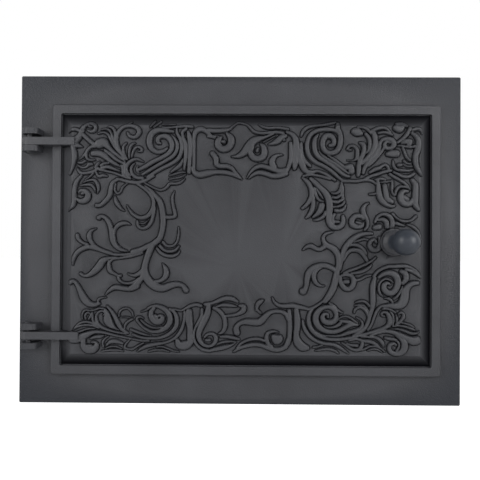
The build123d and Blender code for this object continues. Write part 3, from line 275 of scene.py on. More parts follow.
    ((-40,-64.5,1.8), (-33,-63.3,1.6), (-27,-61,2), (-20,-58.4,2.4), (-13,-58.8,2.4), (-8,-61.5,1.6)),
    ((-29,-67,0.8), (-22,-65,1.8), (-14,-65.5,1.8), (-9,-66.5,1)),
    ((11.5,-70,1.2), (12.2,-65,2.2), (15,-61.5,2.4), (18,-60,1)),
    ((27,-57.5,0.8), (29.5,-62,1.4), (33.5,-65,1.8), (40,-65.7,2.2), (47,-65.2,2.4), (53,-66.5,2.4),
     (58,-67.3,2), (63,-68.6,1.6), (68,-67,1.6), (73,-64,1.4), (77,-61,1.2)),
    ((44,-70,2), (44.5,-78,2.4), (44.8,-86,2.4), (44.5,-94,2.4), (43.5,-101,2.4), (40.5,-107,2)),
    ((51,-70,2.6), (52,-78,3.2), (52,-86,3.2), (51,-94,3), (52.5,-101,4.2), (57,-106,4.4), (62,-107,2.6)),
    ((57.5,-80,1.2), (58.5,-86,1.8), (61.5,-92,2), (66,-96.8,2), (72,-100.5,1.8), (80,-102.8,1.8),
     (88,-103.6,1.9), (94,-106.3,1.9), (99.5,-110,1.2), (103,-112.5,0.6)),
    ((68,-106.5,1), (72,-106,1), (77,-104.5,0.8)),
    ((70,-110,0.6), (76,-108.8,1.2), (83,-108.2,1.4), (89,-109.6,1.3), (93,-112.3,0.8)),
    ((67,-68.8,1.4), (64.2,-73,1.8), (63.2,-79,2.2), (64.8,-86,2.3), (69,-91.8,2.2), (75,-96,1.9),
     (83,-98.2,1.8), (92,-98.6,1.9), (101,-97.6,1.8), (110,-95.6,1.5), (118,-93,1.2)),
    ((71,-91,0.6), (77,-94.4,0.8), (86,-95.2,0.9), (95,-94.6,1.4), (102,-92,2), (109,-90,2),
     (114.5,-87.5,1.8), (117,-83.5,1.4), (115.5,-79.5,1.1), (111,-76.5,0.8)),
    ((112,-84,1.2), (106,-83.8,2.2), (100,-86.3,2.4), (94,-89.4,2.4), (87.5,-91,2.4), (80.5,-90.2,2.6),
     (74.5,-87,2.9), (70.8,-81.5,3.2), (70.6,-75.5,3.2), (73.5,-70,2.8), (78.5,-66.8,2.2), (84,-66.3,2.2),
     (89,-69.3,2.4), (91,-74.5,2.4), (89.5,-79.5,2.8), (84.5,-81.8,3), (79,-80.5,2.8), (77,-76.5,2.4),
     (79,-73.3,1.8), (82.3,-73.6,1.4), (82.6,-76.5,1.2)),
    ((78,-84.8,0.5), (83,-86.8,0.9), (89,-86,1.5), (94,-83.3,1.8), (96,-80.5,1.2)),
    ((84,-62.5,1.2), (88.5,-65.5,1.5), (92.5,-69.5,1.4), (97,-72,1)),
    ((93.5,-77.8,0.7), (97,-75.9,1), (101.5,-75.6,1.1), (105.5,-77.4,1.2), (109,-80,1.2), (112,-82,1)),
    ((93,-79,0.6), (98,-80.5,1.6), (103,-81,2), (108,-82.5,1.4)),
    ((96.5,-101.8,0.9), (101.5,-104.9,1.3), (106.5,-108,1.5), (112,-108.8,1.8), (116,-105.5,2),
     (116.8,-100.8,1.5), (113.5,-98,0.9)),
    ((101.5,-102.6,0.8), (106.5,-104.2,1.4), (111.5,-104.4,1.8)),
    ((108.6,-72,1), (109.5,-68.8,1.3), (113.5,-66.4,1.4), (117.8,-67.6,1.5), (121,-71.5,1.5), (123,-76,1.3)),
    ((110,-61.5,0.8), (113.5,-60.6,1.2), (117.5,-60.3,1.3), (121,-62,1.4), (123.5,-65,1.2)),
    ((109.5,-64.8,0.8), (113.5,-64.2,0.9), (118,-64.8,1), (121.5,-68.3,1), (123.6,-71.5,0.8)),
    ((57.5,-9.5,0.8), (61,-6.6,1.8), (65.5,-5.6,2.4), (70,-8,2.2), (74,-8.9,2.2), (78.5,-6.5,2.4)),
    ((86,8.3,1.2), (80.5,6.8,1.6), (77.7,3.3,1.8), (78,-0.5,2.2), (80.5,-4.5,2.8), (85,-6.5,3),
     (89.5,-9.8,3.3), (92.3,-15,3), (92.8,-21,2.6), (92.3,-27,2.6), (91.3,-32,3), (90,-38,3.2),
     (88.8,-44,3.4), (86.5,-50,3.4), (83,-56,3.2), (79.5,-60.5,2.6)),
    ((91,-31,2.2), (87,-27.8,2.6), (81,-25.3,2.6), (74.5,-25,2.6), (68,-27.5,3), (63.5,-32,3.2),
     (61.8,-38,3), (61.2,-44,2.4), (59.8,-48.5,2.6), (57.8,-50.8,3.8)),
    ((76,-27,1.2), (71,-29.8,2), (68.5,-34,2.6), (68.7,-39,2.4), (71.3,-43.2,2), (75.5,-45.3,1.2),
     (79,-45.3,0.7)),
    ((94.5,-36,1.8), (95.3,-42,2.4), (98.5,-47,2.6), (103,-48.3,2.6), (107,-45,2.8), (108,-39.5,2.6),
     (105.8,-35.3,2.2), (101,-34,2), (96.5,-34.8,1.6)),
    ((99.5,-41,2.2), (102,-41,2.3)),
    ((98,-20,1), (100.3,-14.5,1.6), (104,-10.3,2), (109,-9.2,2.2), (114,-10.6,2.2), (118,-14.5,2.2),
     (121,-19.5,1.8)),
    ((103,-5,1.2), (108,-4.2,1.8), (113,-5.2,1.8), (117.5,-8.5,1.8), (120.3,-13,1.4)),
    ((98,-32.5,1), (103,-30.3,1.6), (109,-28.2,1.6), (115,-25.8,1.5), (121,-23,1.4), (126,-20,1.2),
     (130,-16.5,1)),
    ((106,-32.5,1.2), (112,-31.8,1.7), (118,-30,1.8), (123,-27,1.6), (125.5,-24,1)),
    ((111,-39.5,1.6), (115,-38.3,1.4), (120,-35.6,1.3), (125,-34.6,1)),
    ((128,-35.5,1.6), (131.5,-31,1.7), (136.5,-27.8,1.7), (143,-25.6,1.8), (150,-25.5,2), (157,-25,2),
     (163,-26,1.6), (168,-28.5,1.4), (172,-32,1.2), (174.5,-35,0.8)),
    ((160,-28.5,1.6), (165,-30,1.6), (170,-33,1.4), (174.5,-36.8,0.9)),
    ((147,-41.5,0.8), (144,-38.8,1.1), (139.5,-38,1.2), (135.5,-40.3,1.2), (133.3,-44,1.2), (133,-49,1.4),
     (134.5,-53,1.2), (137,-55.5,0.7)),
    ((133,-36.5,1.6), (138,-33,2.4), (144,-32,3), (149.5,-34.5,3.4), (152,-40,3.4), (151,-46,3.2),
     (147.5,-51,3.2), (142.5,-52,3), (138.5,-48.5,3), (138.3,-44,2.6), (141.5,-42,1.8), (144,-43.8,1.2)),
    ((155.5,-30.5,2.2), (159.5,-33,3), (160,-38,3), (157,-42,2)),
    ((171,-42,2.4), (166.5,-42.3,2.6), (162,-45.5,3.2), (159.3,-51,4), (158.5,-57,4.6), (156,-62.5,4.6),
     (150,-65,3.4), (143,-64.5,2.2), (138,-65.3,1.4)),
    ((156.5,-45.5,0.8), (154.5,-50,1.2), (151.5,-55,1.4), (148,-57.8,1.2)),
    ((139,-57.5,0.8), (143,-57.6,1.4), (146,-60,1.4), (147,-62.5,1)),
    ((129,-37.5,2), (127.3,-44,2.8), (127,-52,3), (127.2,-60,3), (126.5,-67,2.4), (124.5,-74,2),
     (122.8,-80,2), (120,-86,2), (115.5,-90.5,2), (108,-94.5,1.4)),
    ((138.5,-64,1), (134,-66.3,1.4), (130.8,-70.5,1.6), (128.3,-76.5,1.5), (126,-83,1.4), (122.5,-88.5,1.4)),
    ((139,-75.2,0.9), (136.3,-74.6,1.2), (136.2,-71.9,1.2), (139,-70.9,1.3), (142,-73,2), (144,-78,2.6),
     (143.5,-83,2.6), (139,-86.5,1.9), (131,-89.3,1.6), (123,-92,1.6), (115,-94.3,1.4), (106,-96.3,1.2)),
    ((137,-68,1), (141,-67.6,1), (146,-69.2,1.2), (149.3,-71.5,1)),
    ((144.5,-70.8,0.9), (147,-74,1.3), (147.7,-79,1.2), (147,-84.5,1)),
    ((152.8,-72.8,1), (155,-71.2,1.3), (157.6,-73,1.5), (157.4,-76.5,1.8), (154.5,-80,1.6),
     (150.5,-83.3,1.4)),
    ((150.3,-74,1), (151.3,-78,1.4), (150.5,-80.5,1)),
    ((154,-81.3,0.8), (160,-82.4,1), (165,-84.2,1.2), (167.8,-86,1)),
    ((147,-85.3,0.8), (153,-84.4,1), (160,-85.5,1.3), (166,-87.6,1.3), (168.8,-88.8,0.9)),
    ((146,-87.8,0.6), (153,-87.9,1), (160,-90,1.4), (166,-92.3,1.4), (171,-91.5,1.2), (173,-90.2,0.7)),
    ((125,-94.3,1.2), (132,-91.8,1.6), (140,-90,2), (148,-91.3,2.2), (155,-94.2,2.6), (161,-97,3),
     (166.5,-99.5,4.4), (170.5,-99,4.6)),
    ((139.5,-96.5,1.4), (144,-97.6,1.8), (149,-98.3,1.6), (152.6,-101.3,1.3), (153.3,-105.5,1.2),
     (151,-109,1.2)),
    ((150,-94.2,1), (155.5,-97.8,2.2), (158.8,-103,3.6), (157.5,-109,3.4), (152,-112.2,2.8),
     (146,-111.2,2.4), (143.5,-107.5,2.2), (144.5,-103.5,2), (148,-102,1.6), (150.3,-103.9,1.2)),
    ((104,-99.5,1.2), (111,-98,1.4), (118,-99.8,1.6), (125,-100.6,2), (130.5,-103.2,1.7),
     (133.5,-105.5,0.9)),
    ((116,-95.5,1.2), (124,-95.8,1.3), (130,-96.4,1.6), (134.5,-98.8,2), (137,-102.3,1.9), (138,-105,1)),
    ((114,-109.5,0.8), (119,-107.9,1.1), (124,-105.4,1.1), (130,-105.3,1), (135,-107.3,1),
     (139.5,-110.5,0.7)),
    ((122,-109.5,0.7), (127,-107.9,1), (132,-108.3,0.9), (136.5,-111,0.6)),
    ((41,108,1.6), (46,106,2.2), (49.5,101,3), (50.3,94,3.6), (50,86,3.8), (49.3,78,3.4), (48.5,71.5,1.8)),
    ((44.5,97,2), (45,90,2.2), (44.8,82,2.2), (43.3,75,2.2), (41,70,2.2)),
    ((55.3,97,1.6), (55.6,90,1.8), (56.5,84,1.9), (59.5,78.5,2), (64,74.3,1.6)),
    ((53.5,90,2.2), (54.5,80,3), (57.5,73,3.2), (60.5,69,2.6), (66,68,2), (71,69.3,1.4), (77,67.5,1.6),
     (83,64.3,1.6), (89,60,1.4)),
    ((55,104,1), (57,109,1.8), (61.5,112.8,1.8), (68.5,114.6,1.6), (76,115.4,1.5), (83,116.8,1.6),
     (90,118.6,1)),
    ((92,117,1.8), (91.5,112,2.6), (94,106.5,2.4), (94.3,100,2.8), (93.3,94,2.8), (90,89,2.8),
     (84.5,87.3,2.6), (79.5,89,2.6), (76.8,93.5,2.6), (76.8,99,2.8), (79.5,104,3), (84.5,104.3,2.8),
     (87.8,100.5,2.4), (87.3,95.8,2.4), (84,94.8,2)),
    ((95,103,1.6), (91,108.5,2), (85,110.6,2), (78,110.9,2.2), (71,109.6,2.2), (65,106,2.2), (61.8,100,2.2),
     (61,93,2.4), (62.3,86.5,2.4), (65.5,81.5,2.4), (70.5,77.5,2.2), (76.5,74.8,2), (82.5,71.3,1.9),
     (88,67,1.9), (93,62.5,1.6), (97,59.5,1.4)),
    ((72,106,1), (69,101.5,2.2), (68.3,95,2.6), (69.3,88.5,2.6), (73,83,2.4), (78.5,79.5,2.2),
     (84.5,75.8,2.2), (90,71.5,2.2), (95.5,67.2,2), (100,64.5,1.8), (103.3,63.8,1.4)),
    ((73,89,0.8), (76,85.2,1.2), (81,81.8,1.3), (87,78,1.4), (93,73.7,1.5), (98.5,69.5,1.4), (103,66.5,1)),
    ((82,84.8,0.8), (88,81,1.6), (93.5,77,1.6), (98,73.5,1.6)),
    ((100.5,73,2.8), (104.5,73.5,3.4), (105.5,69,3.2)),
    ((101.3,91.3,1.4), (103,94,1.5), (107,94.6,1.6), (110.6,91.3,1.9), (111.3,86.5,2.2), (110.3,81.5,1.8),
     (106,79.7,0.8), (101,80,0.6)),
    ((103.5,90.3,1.4), (105,90.2,1)),
    ((107.3,109,2.8), (110.5,108.5,4.4), (114.5,106.8,2.4)),
    ((112,113.4,1.2), (117,113,1.3), (121.5,110.8,1.5), (124.6,107,1.2)),
    ((57.5,64.2,1.2), (64,65.4,1.4), (71,64.8,1.4), (78,63.2,1.4), (84,61.2,1.2)),
    ((56.5,62.5,1), (61.5,58.5,2.2), (65,52.5,2.6), (66,46,2.6), (64.3,40.5,2.4), (61,35.8,2),
     (56.8,32,1.6)),
    ((70.5,52,0.6), (73.3,47.2,1.4), (77.3,41.8,0.7)),
    ((68.5,52,1.6), (70,45.5,1.8), (73,40.5,1.4), (77.5,38.7,0.8)),
    ((67,43,2.2), (67.5,37,2.4), (66.5,31,2.4), (64,26,2.2), (60.5,22.5,1.2)),
    ((76,34.8,3.2), (74.8,30.5,3.2), (71.5,26.5,2.2), (67.3,23.2,1.2)),
    ((79.8,28.5,1.6), (77.8,24.2,1.9), (73,21,1.6), (68,20.2,0.8)),
    ((65,61.5,2), (69.5,57.3,2.6), (74,53,2.6), (79,48,3.2), (82.5,42,3.4), (83.8,35,3.6), (83.5,27,3.4),
     (83,20,3), (85.5,14.8,3), (90.5,12.8,2.8), (95.3,14.7,2.8), (97.5,19,2.6), (97,24,1.8)),
    ((88.5,26,1.6), (86.8,22,1.8), (87.8,17.5,1.6)),
    ((90,18.8,1.7), (92.8,18.6,1.5)),
    ((95.5,57.5,1.2), (96.6,52,1.8), (96.2,46.5,1.9), (97.3,41,1.6)),
    ((86,47.3,1), (90.5,47,1.5), (94,50,1.7), (95,55,1.2)),
    ((86.5,43,1.2), (91,42.9,1.7), (95,45.5,1.6)),
    ((87,39,1.6), (91.5,38.3,1.8), (96,40.6,1.6)),
    ((88,33.5,1.2), (92,34,1.2), (96.5,35.8,1.5), (98.7,38.8,1.2)),
    ((90,30,2), (94.5,29.6,1.9), (98.2,32,1.6), (99.8,35.5,1)),
    ((97,59.5,1.6), (103,59.4,1.7), (110,59.2,1.7), (118,60.5,1.6), (125,59.8,1.5), (129.5,57,1.2)),
    ((117.5,21.5,1.4), (114.5,24.3,2.4), (109.5,24.3,2.6), (106,20.5,2.8), (106.5,15.8,2.8), (111,13.8,2.4),
     (116,14.5,2), (117.3,17.5,1.2)),
    ((110.5,18.3,1.4), (114.5,17.3,1.5)),
    ((126,109.5,2), (128.5,104,2.8), (129,97,3), (127,90.5,2.8), (123.5,85,2.6), (119.5,80.5,2.4),
     (115.8,77,2)),
    ((133.5,98.5,1.4), (132.8,93,2.4), (129.8,87.3,2.6), (126,82.3,2.4), (122,77.7,2.2), (118.5,72.8,2.2),
     (117,67.5,1.8)),
    ((137.5,92.5,1.4), (135,88.5,1.7), (131,83.5,1.7), (127,79,1.7), (122.5,74.8,1.4)),
    ((119.5,106.5,1.8), (122.8,102,2.1), (123.6,96.5,2.1), (122.5,91,1.7), (120.5,87.5,0.9)),
    ((113.5,97.8,1.2), (117,96,2.4), (118,91.5,2.4), (116.7,86,2.6), (114.3,81,2.4), (112.8,75.5,2.4),
     (112.6,69.5,2.4), (112,65,1.8)),
    ((127.5,110.5,1.8), (132,112.3,1.8), (137.5,112.8,1.6), (141.5,110.5,1.3), (144.5,107.5,1)),
    ((132.5,107.5,1.4), (138,108.3,1.5), (142.5,107,1.4), (146,105.5,1)),
    ((134,97,1.6), (136,100.5,2), (141,101.8,2.4), (146,100,2.8), (147.5,95.5,2.8), (144,92.5,2.2),
     (139.5,92.8,2.2), (138,96,2), (140.5,98.8,1.4), (143.5,97.6,1)),
    ((141.5,86.5,2.4), (146.5,87,4), (150,87,3.8)),
    ((149.5,112.5,3.2), (153,111.5,4), (155.5,112.8,2.8)),
    ((151,116.8,2), (156,117,2.2), (160,114.8,1.8)),
    ((163.5,112.5,1.8), (161,107,2.2), (156.5,102,2), (151.5,98.3,1.6)),
    ((155.5,97.5,1.2), (159.5,98.8,2.8), (163,98.8,3.4), (162.5,96,2.4)),
    ((166,110.5,1.8), (170.5,112,1.8), (174.3,110.5,1.6), (175.8,107.3,1)),
    ((165.5,107.5,1.6), (169.5,104.5,2.4), (172.3,99,3), (171.5,92,3.4), (169.3,85,3), (169.3,78,2.8),
     (171.5,71.5,2.4), (175,66.3,1.8)),
    ((156.5,92.5,1.4), (158.3,88,1.5), (160.2,83.3,1.4), (163.5,80.3,1.2)),
    ((151.5,95,1), (155,94.8,1.2), (158.5,94.3,1.3), (163,93.2,1.2), (168,94.5,1.6)),
    ((157.5,79.8,1.3), (160,77.3,1), (164.5,76.6,1)),
    ((157,76.5,0.9), (160.5,74.5,1), (165.5,74.3,1)),
    ((152,75.5,1.8), (154.5,75.8,1.8)),
    ((146.5,80,1), (147.3,75,1.6), (150,71.3,1.4), (156,70.3,1.6), (162,70,1.4), (166.5,71,0.9)),
    ((134.5,73.8,1.6), (138.5,75.8,1.6), (141.8,73.5,1.6), (142.8,69.8,1.4)),
    ((119,61.8,1.4), (125.5,64.6,1.7), (132.5,66.8,1.7), (139,69,1.7), (145,70,1.4)),
    ((124,68.3,1.6), (129,71.3,2.2), (134,72.8,2)),
    ((129,60.8,1), (134,62,1.6), (139,61,1.2)),
    ((147.5,68.5,1.2), (152.5,66,1.6), (157.5,64,1.8), (163,64.3,1.8), (167.5,67,1.6)),
    ((143.5,66.5,1.4), (148.5,63.3,1.6), (153.5,60.5,1.6), (158,57.8,1.5), (161.3,54.5,1.4), (163.5,51,1)),
    ((166,60.5,2.2), (169,56,3), (169.3,50,3.2), (168.8,43,3.4), (169,36.5,3.2), (172,31.5,2)),
    ((161.5,49.3,1.4), (157,49.3,2.4), (154.3,45.5,3), (154.8,40.5,3.2), (158.5,37,3.2), (163.5,37.3,3),
     (166,41,2)),
    ((157.5,43.5,2.6), (161,41.5,2.2)),
    ((149.3,45.5,1), (149.8,50,1.6), (153,53.8,1.5), (158,54,1.2), (162,52.3,0.8)),
    ((146,60,1.2), (146,54,1.6), (145.8,49,1.2), (147.8,45.5,1.2)),
    ((134.5,58.3,0.8), (139,58.6,1.2), (144,59.5,1)),
    ((131.5,60,1.6), (132.3,54,2.4), (133,47,3), (135,41,3), (139.5,36.5,2.4), (145,34.3,1.8),
     (148.3,34.9,1.2)),
    ((138.5,54.5,2.6), (139.5,48,3), (141,42,3), (145.5,38.8,2.4)),
    ((123.5,46.3,1), (126.5,46.3,1.2), (130,47.3,1.2)),
    ((122.5,37.5,1), (118.8,35,1.8), (117,30.5,2.6), (118.5,25.5,2.4), (121.3,20.5,1.9), (121.8,15,1.6),
     (119,10.8,1.4)),
    ((129,18.5,1.4), (131.5,23.5,1.6), (136,26.3,1.8), (141,25.7,2.2), (145,22.5,2.4), (146.3,17.5,2.6),
     (145.5,12,2.4), (144.5,6.5,1.8)),
    ((132.5,20.5,1.4), (136.5,21.3,2.2), (140.3,18.5,2.6), (141,14,2.4)),
    ((129,13,2.6), (133,13.8,3.2)),
    ((146.5,26.8,1.6), (151,22.3,1.2), (156,19.8,1.6), (161,19.5,1.4), (165.5,21,1.4), (169.5,24.5,1.6)),
    ((150,17.5,2), (154.5,15.8,1.6), (158,15,1)),
    ((161,16.2,1), (165.5,14.7,1.5), (169.5,11.8,1.6), (172.8,7.5,1.4), (174.3,2,1.4), (173.5,-4,1.2)),
    ((126,7,1.4), (119.5,7,2), (113,5.2,2.4), (107,1.5,2.8), (102,-3.5,2.8), (98.3,-9.5,2.8), (96.5,-16,2.2),
     (95.5,-23,1.8), (94.5,-29,1.4)),
    ((133.5,3,1.6), (134.3,-3,2), (132,-8.5,2.4), (127,-9.3,2.4), (123.8,-5.5,2.4), (124.8,-0.8,2),
     (128.5,1.2,1.5), (130.3,-1.8,1.3)),
    ((108.5,-1.5,0.8), (113,0.1,1.2), (118,1.4,1.3), (122,0.8,1)),
    ((138.5,6,1.4), (138.8,0,1.8), (138,-6,1.6)),
    ((143,3,1.6), (143,-3,1.6), (144.5,-8.5,1.8)),
    ((-121,80.5,1.5), (-127.5,90.5,2), (-130,100,2), (-128,107.5,2), (-123,112.5,1.8), (-116,114,2),
     (-109.5,112,2.3), (-107,107.5,2.3), (-111,102.5,2), (-116.5,103.5,1.7), (-119,107.5,1)),
    ((-129,107.5,1), (-122,113,1.2), (-115,118,0.7)),
    ((-119,80,1), (-122.5,87,1.4), (-123,93,1.4), (-120,96.5,1)),
    ((-117,81.5,1), (-117,88.5,1.4), (-115,94.5,1.5), (-111.5,96.5,1)),
    ((-114.5,82.5,1), (-113,88.5,1.3), (-109.5,92.5,1.4), (-105,91.5,1.5), (-104.5,88.5,1.3), (-108,88,0.8)),
    ((-103,78,0.8), (-109.5,80.5,1.5), (-116,78,1.8), (-120,72.5,2), (-120,66,1.8), (-116,61,1.4)),
    ((-112,76,1), (-115,71.5,1.4), (-114,66,1.7), (-109.5,62,1.8), (-103.5,61.5,1.8)),
    ((-108.5,73.5,0.8), (-109.5,69.5,1), (-107,66.5,0.8)),
    ((-129.5,61,1), (-120.5,58.5,1.7), (-111,57,1.8), (-102,58.5,1.8), (-92.5,63.5,1.4)),
    ((-121.5,77,1), (-123.5,71,1.4), (-123,65.5,1.4), (-120,61.5,1)),
)

# The relief, in millimetres
GRID = 0.5  # spacing of its points
STEP = 1.2  # spacing of the points along a stroke
THINNEST = 0.3  # least half width of a ridge
LOW_RIDGE = 1.0  # height of a hair-thin ridge over the panel
RIDGE_SLOPE = 0.65  # extra height for each millimetre of half width
HIGH_RIDGE = 2.7
RIDGE_FLATNESS = 4  # the larger, the flatter a ridge's top
RIDGE_FULLNESS = 0.55  # the smaller, the steeper its sides
LINE_WIDTH = 0.65  # half width of the chased line round each scroll
LINE_DEPTH = 0.9
LINE_OFFSET = 0.3  # from a ridge's foot to the middle of its line, as a share of LINE_WIDTH
LINE_END = 1.1  # height on another ridge at which a line has run out
RING_WIDTH = 1.0  # half width of the ring of painted shade round the foot of the knob's boss
BOSS_CHAMFER = 0.8
BEVEL_SAG = 0.06  # share of its rise by which the bevel is hollow
MAX_TRIANGLES = 185000


def curve_through(points):
    """Catmull-Rom curve through the points of a stroke, as rows of u, v, half width."""
    p = np.array(points, float)
    if len(p) < 3:
        return p
    p = np.vstack([2 * p[0] - p[1], p, 2 * p[-1] - p[-2]])
    rows = []
    for a, b, c, d in zip(p[:-3], p[1:-2], p[2:-1], p[3:]):
        count = max(1, int(np.linalg.norm(c[:2] - b[:2]) / STEP))
        for t in np.arange(count) / count:
            square = (2 * a - 5 * b + 4 * c - d) * t**2
            cube = (3 * b - a - 3 * c + d) * t**3
            rows.append(0.5 * (2 * b + (c - a) * t + square + cube))
    rows.append(p[-2])
    return np.array(rows)


def relief(u, v):
    """Height of the scrolls over the panel and the lines round them, at each point of the grid."""
    over = np.zeros((len(v), len(u)))
    line = np.zeros_like(over)
    for stroke in STROKES:
        rows = curve_through(stroke)
        rows[:, 2] = np.maximum(rows[:, 2], THINNEST)
        for a, b in zip(rows[:-1], rows[1:]):
            reach = max(a[2], b[2]) + 2 * LINE_WIDTH
            i0, i1 = np.searchsorted(u, (min(a[0], b[0]) - reach, max(a[0], b[0]) + reach))
            j0, j1 = np.searchsorted(v, (min(a[1], b[1]) - reach, max(a[1], b[1]) + reach))
            if i0 == i1 or j0 == j1:
                continue
            du = u[None, i0:i1] - a[0]
            dv = v[j0:j1, None] - a[1]
            along = b[:2] - a[:2]
            share = np.clip((du * along[0] + dv * along[1]) / max(along @ along, 1e-9), 0, 1)
            distance = np.hypot(du - share * along[0], dv - share * along[1])
            half = a[2] + share * (b[2] - a[2])
            top = np.minimum(LOW_RIDGE + RIDGE_SLOPE * half, HIGH_RIDGE)
            ridge = top * np.clip(1 - (distance / half) ** RIDGE_FLATNESS, 0, 1) ** RIDGE_FULLNESS
            part = over[j0:j1, i0:i1]
            np.maximum(part, ridge, out=part)
            from_line = np.abs(distance - half - LINE_OFFSET * LINE_WIDTH)
            part = line[j0:j1, i0:i1]
            np.maximum(part, np.clip(1 - from_line / LINE_WIDTH, 0, 1), out=part)
    return over, line * np.clip(1 - over / LINE_END, 0, 1)


u = np.arange(-PANEL_HALF_WIDTH, PANEL_HALF_WIDTH + GRID / 2, GRID)
v = np.arange(-PANEL_HALF_HEIGHT, PANEL_HALF_HEIGHT + GRID / 2, GRID)
inward = np.minimum(PANEL_HALF_WIDTH - np.abs(u)[None, :], PANEL_HALF_HEIGHT - np.abs(v)[:, None])
up_bevel = np.clip(inward / BEVEL_WIDTH, 0, 1)
panel = GROOVE_FLOOR + BEVEL_RISE * (up_bevel - BEVEL_SAG * np.sin(math.pi * up_bevel))
over, line = relief(u, v)
knob_low, knob_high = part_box("knob")
knob_u = (knob_low.x + knob_high.x) / 2 / MM - LEAF_CENTRE_X
knob_v = (knob_low.z + knob_high.z) / 2 / MM
from_knob = np.hypot(u[None, :] - knob_u, v[:, None] - knob_v)
boss = BOSS_TOP - np.maximum(from_knob - BOSS_RADIUS + BOSS_CHAMFER, 0)
surface = np.where(from_knob < BOSS_RADIUS, boss, panel + over - LINE_DEPTH * line)
# Painted shade in a ring round the boss's foot, added to that of the chased lines
boss_foot_shade = np.clip(1 - np.abs(from_knob - BOSS_RADIUS) / RING_WIDTH, 0, 1)
line = np.where(from_knob < BOSS_RADIUS - GRID, 0, np.maximum(line, boss_foot_shade))

uu, vv = np.meshgrid(u, v)
points = np.stack([(uu + LEAF_CENTRE_X) * MM, (FLANGE_FRONT - surface) * MM, vv * MM], -1).reshape(-1, 3)
index = np.arange(points.shape[0]).reshape(len(v), len(u))
quads = np.stack([index[:-1, :-1], index[:-1, 1:], index[1:, 1:], index[1:, :-1]], -1).reshape(-1, 4)
outside_bore = (from_knob > BORE_RADIUS + GRID).reshape(-1)
quads = quads[outside_bore[quads].all(axis=1)]


def mesh_object(name, vertices, faces):
    mesh = bpy.data.meshes.new(name)
    mesh.from_pydata([tuple(p) for p in vertices], [], [tuple(int(i) for i in f) for f in faces])
    mesh.update()
    obj = bpy.data.objects.new(name, mesh)
    bpy.context.scene.collection.objects.link(obj)
    return obj


def apply_modifiers(obj):
    graph = bpy.context.evaluated_depsgraph_get()
    made = bpy.data.meshes.new_from_object(obj.evaluated_get(graph))
    obj.modifiers.clear()
    obj.data = made


field = mesh_object("leaf_casting", points, quads)
thin = field.modifiers.new("thin", "DECIMATE")
thin.ratio = min(1.0, MAX_TRIANGLES / (2 * len(quads)))
apply_modifiers(field)

# The rest of the casting is the CAD leaf without the front of its panel. Its straps stay whole.
SLACK = 0.05  # between places that ought to be equal
SQUARE = 0.999  # least part of a normal along an axis, for a face that lies square to it
BESIDE_LEAF = 3.0  # the straps' levels are read from faces this far left of the leaf
LEVEL_SLACK = 0.11  # those levels are rounded to a tenth
ROUND_SLACK = 0.2  # round the bore and the back boss
BEHIND_FIELD = FIELD_TOP - 4.0  # what is lower lies behind the middle of the panel
BACKWARD = 0.3  # a face whose normal has more than this along y is of the back
FLOOR_SLACK = 0.02
STRAP_ROOT_AT_RIM = 2.6  # heights of the straps' undersides, which are sunk in the panel
STRAP_ROOT_IN_FIELD = 9.8
STRAP_TOP = 15.45  # just under the front of the CAD leaf's straps
STRAP_OVERLAP = 1.0  # how far a strap's body runs on under the rim
strap_front = leaf_low.y / MM


def levels_of_straps(faces):
    """Levels of the straps' tops and undersides, from the bottom."""
    levels = set()
    for face in faces:
        middle = face.calc_center_median()
        beside = middle.x / MM < LEAF_CENTRE_X - LEAF_HALF_WIDTH - BESIDE_LEAF
        if beside and abs(face.normal.z) > SQUARE:
            levels.add(round(middle.z / MM, 1))
    return sorted(levels)


def is_panel_front(face):
    """Whether the relief takes the place of this face of the CAD leaf."""
    middle = face.calc_center_median()
    height = FLANGE_FRONT - middle.y / MM
    here_u = middle.x / MM - LEAF_CENTRE_X
    here_v = middle.z / MM
    reach = math.hypot(here_u - knob_u, here_v - knob_v)
    if abs(here_u) > PANEL_HALF_WIDTH + SLACK or abs(here_v) > PANEL_HALF_HEIGHT + SLACK:
        return False
    if face.normal.y >= BACKWARD or height <= GROOVE_FLOOR - FLOOR_SLACK:
        return False
    if reach < BORE_RADIUS + ROUND_SLACK:
        return False
    if reach < BACK_BOSS_RADIUS + ROUND_SLACK and height < BEHIND_FIELD:
        return False
    if abs(face.normal.z) > SQUARE and min(abs(here_v - level) for level in strap_levels) < LEVEL_SLACK:
        return False
    return middle.y / MM > strap_front + SLACK


def add_strap_body(casting, bottom, top, end):
    """The strap over the panel, from its front down into the panel's wall."""
    left = -PANEL_HALF_WIDTH - STRAP_OVERLAP
    right = end - 2 * SLACK
    on_field = -PANEL_HALF_WIDTH + BEVEL_WIDTH
    side = [(left, STRAP_ROOT_AT_RIM), (on_field, STRAP_ROOT_IN_FIELD), (right, STRAP_ROOT_IN_FIELD)]
    side += [(right, STRAP_TOP), (left, STRAP_TOP)]
    rows = []
    for level in (bottom + SLACK, top - SLACK):
        row = []
        for x, height in side:
            place = (x + LEAF_CENTRE_X, FLANGE_FRONT - height, level)
            row.append(casting.verts.new([part * MM for part in place]))
        rows.append(row)
    casting.faces.new(rows[0])
    casting.faces.new(rows[1][::-1])
    for i in range(len(side)):
        j = (i + 1) % len(side)
        casting.faces.new((rows[0][j], rows[0][i], rows[1][i], rows[1][j]))


casting = bmesh.new()
casting.from_mesh(nodes["door_leaf"].data)
strap_levels = levels_of_straps(casting.faces)
bmesh.ops.delete(casting, geom=[face for face in casting.faces if is_panel_front(face)], context="FACES")
pin_u = -LEAF_HALF_WIDTH - PIN_OFFSET
add_strap_body(casting, min(strap_levels), min(strap_levels) + STRAP_WIDTH, pin_u + LOWER_STRAP_REACH)
add_strap_body(casting, max(strap_levels) - STRAP_WIDTH, max(strap_levels), pin_u + UPPER_STRAP_REACH)
# Only the two strap bodies have faces with more than three corners
bmesh.ops.recalc_face_normals(casting, faces=[face for face in casting.faces if len(face.verts) > 3])
casting.from_mesh(field.data)
for face in casting.faces:
    face.smooth = True
casting.to_mesh(field.data)
casting.free()
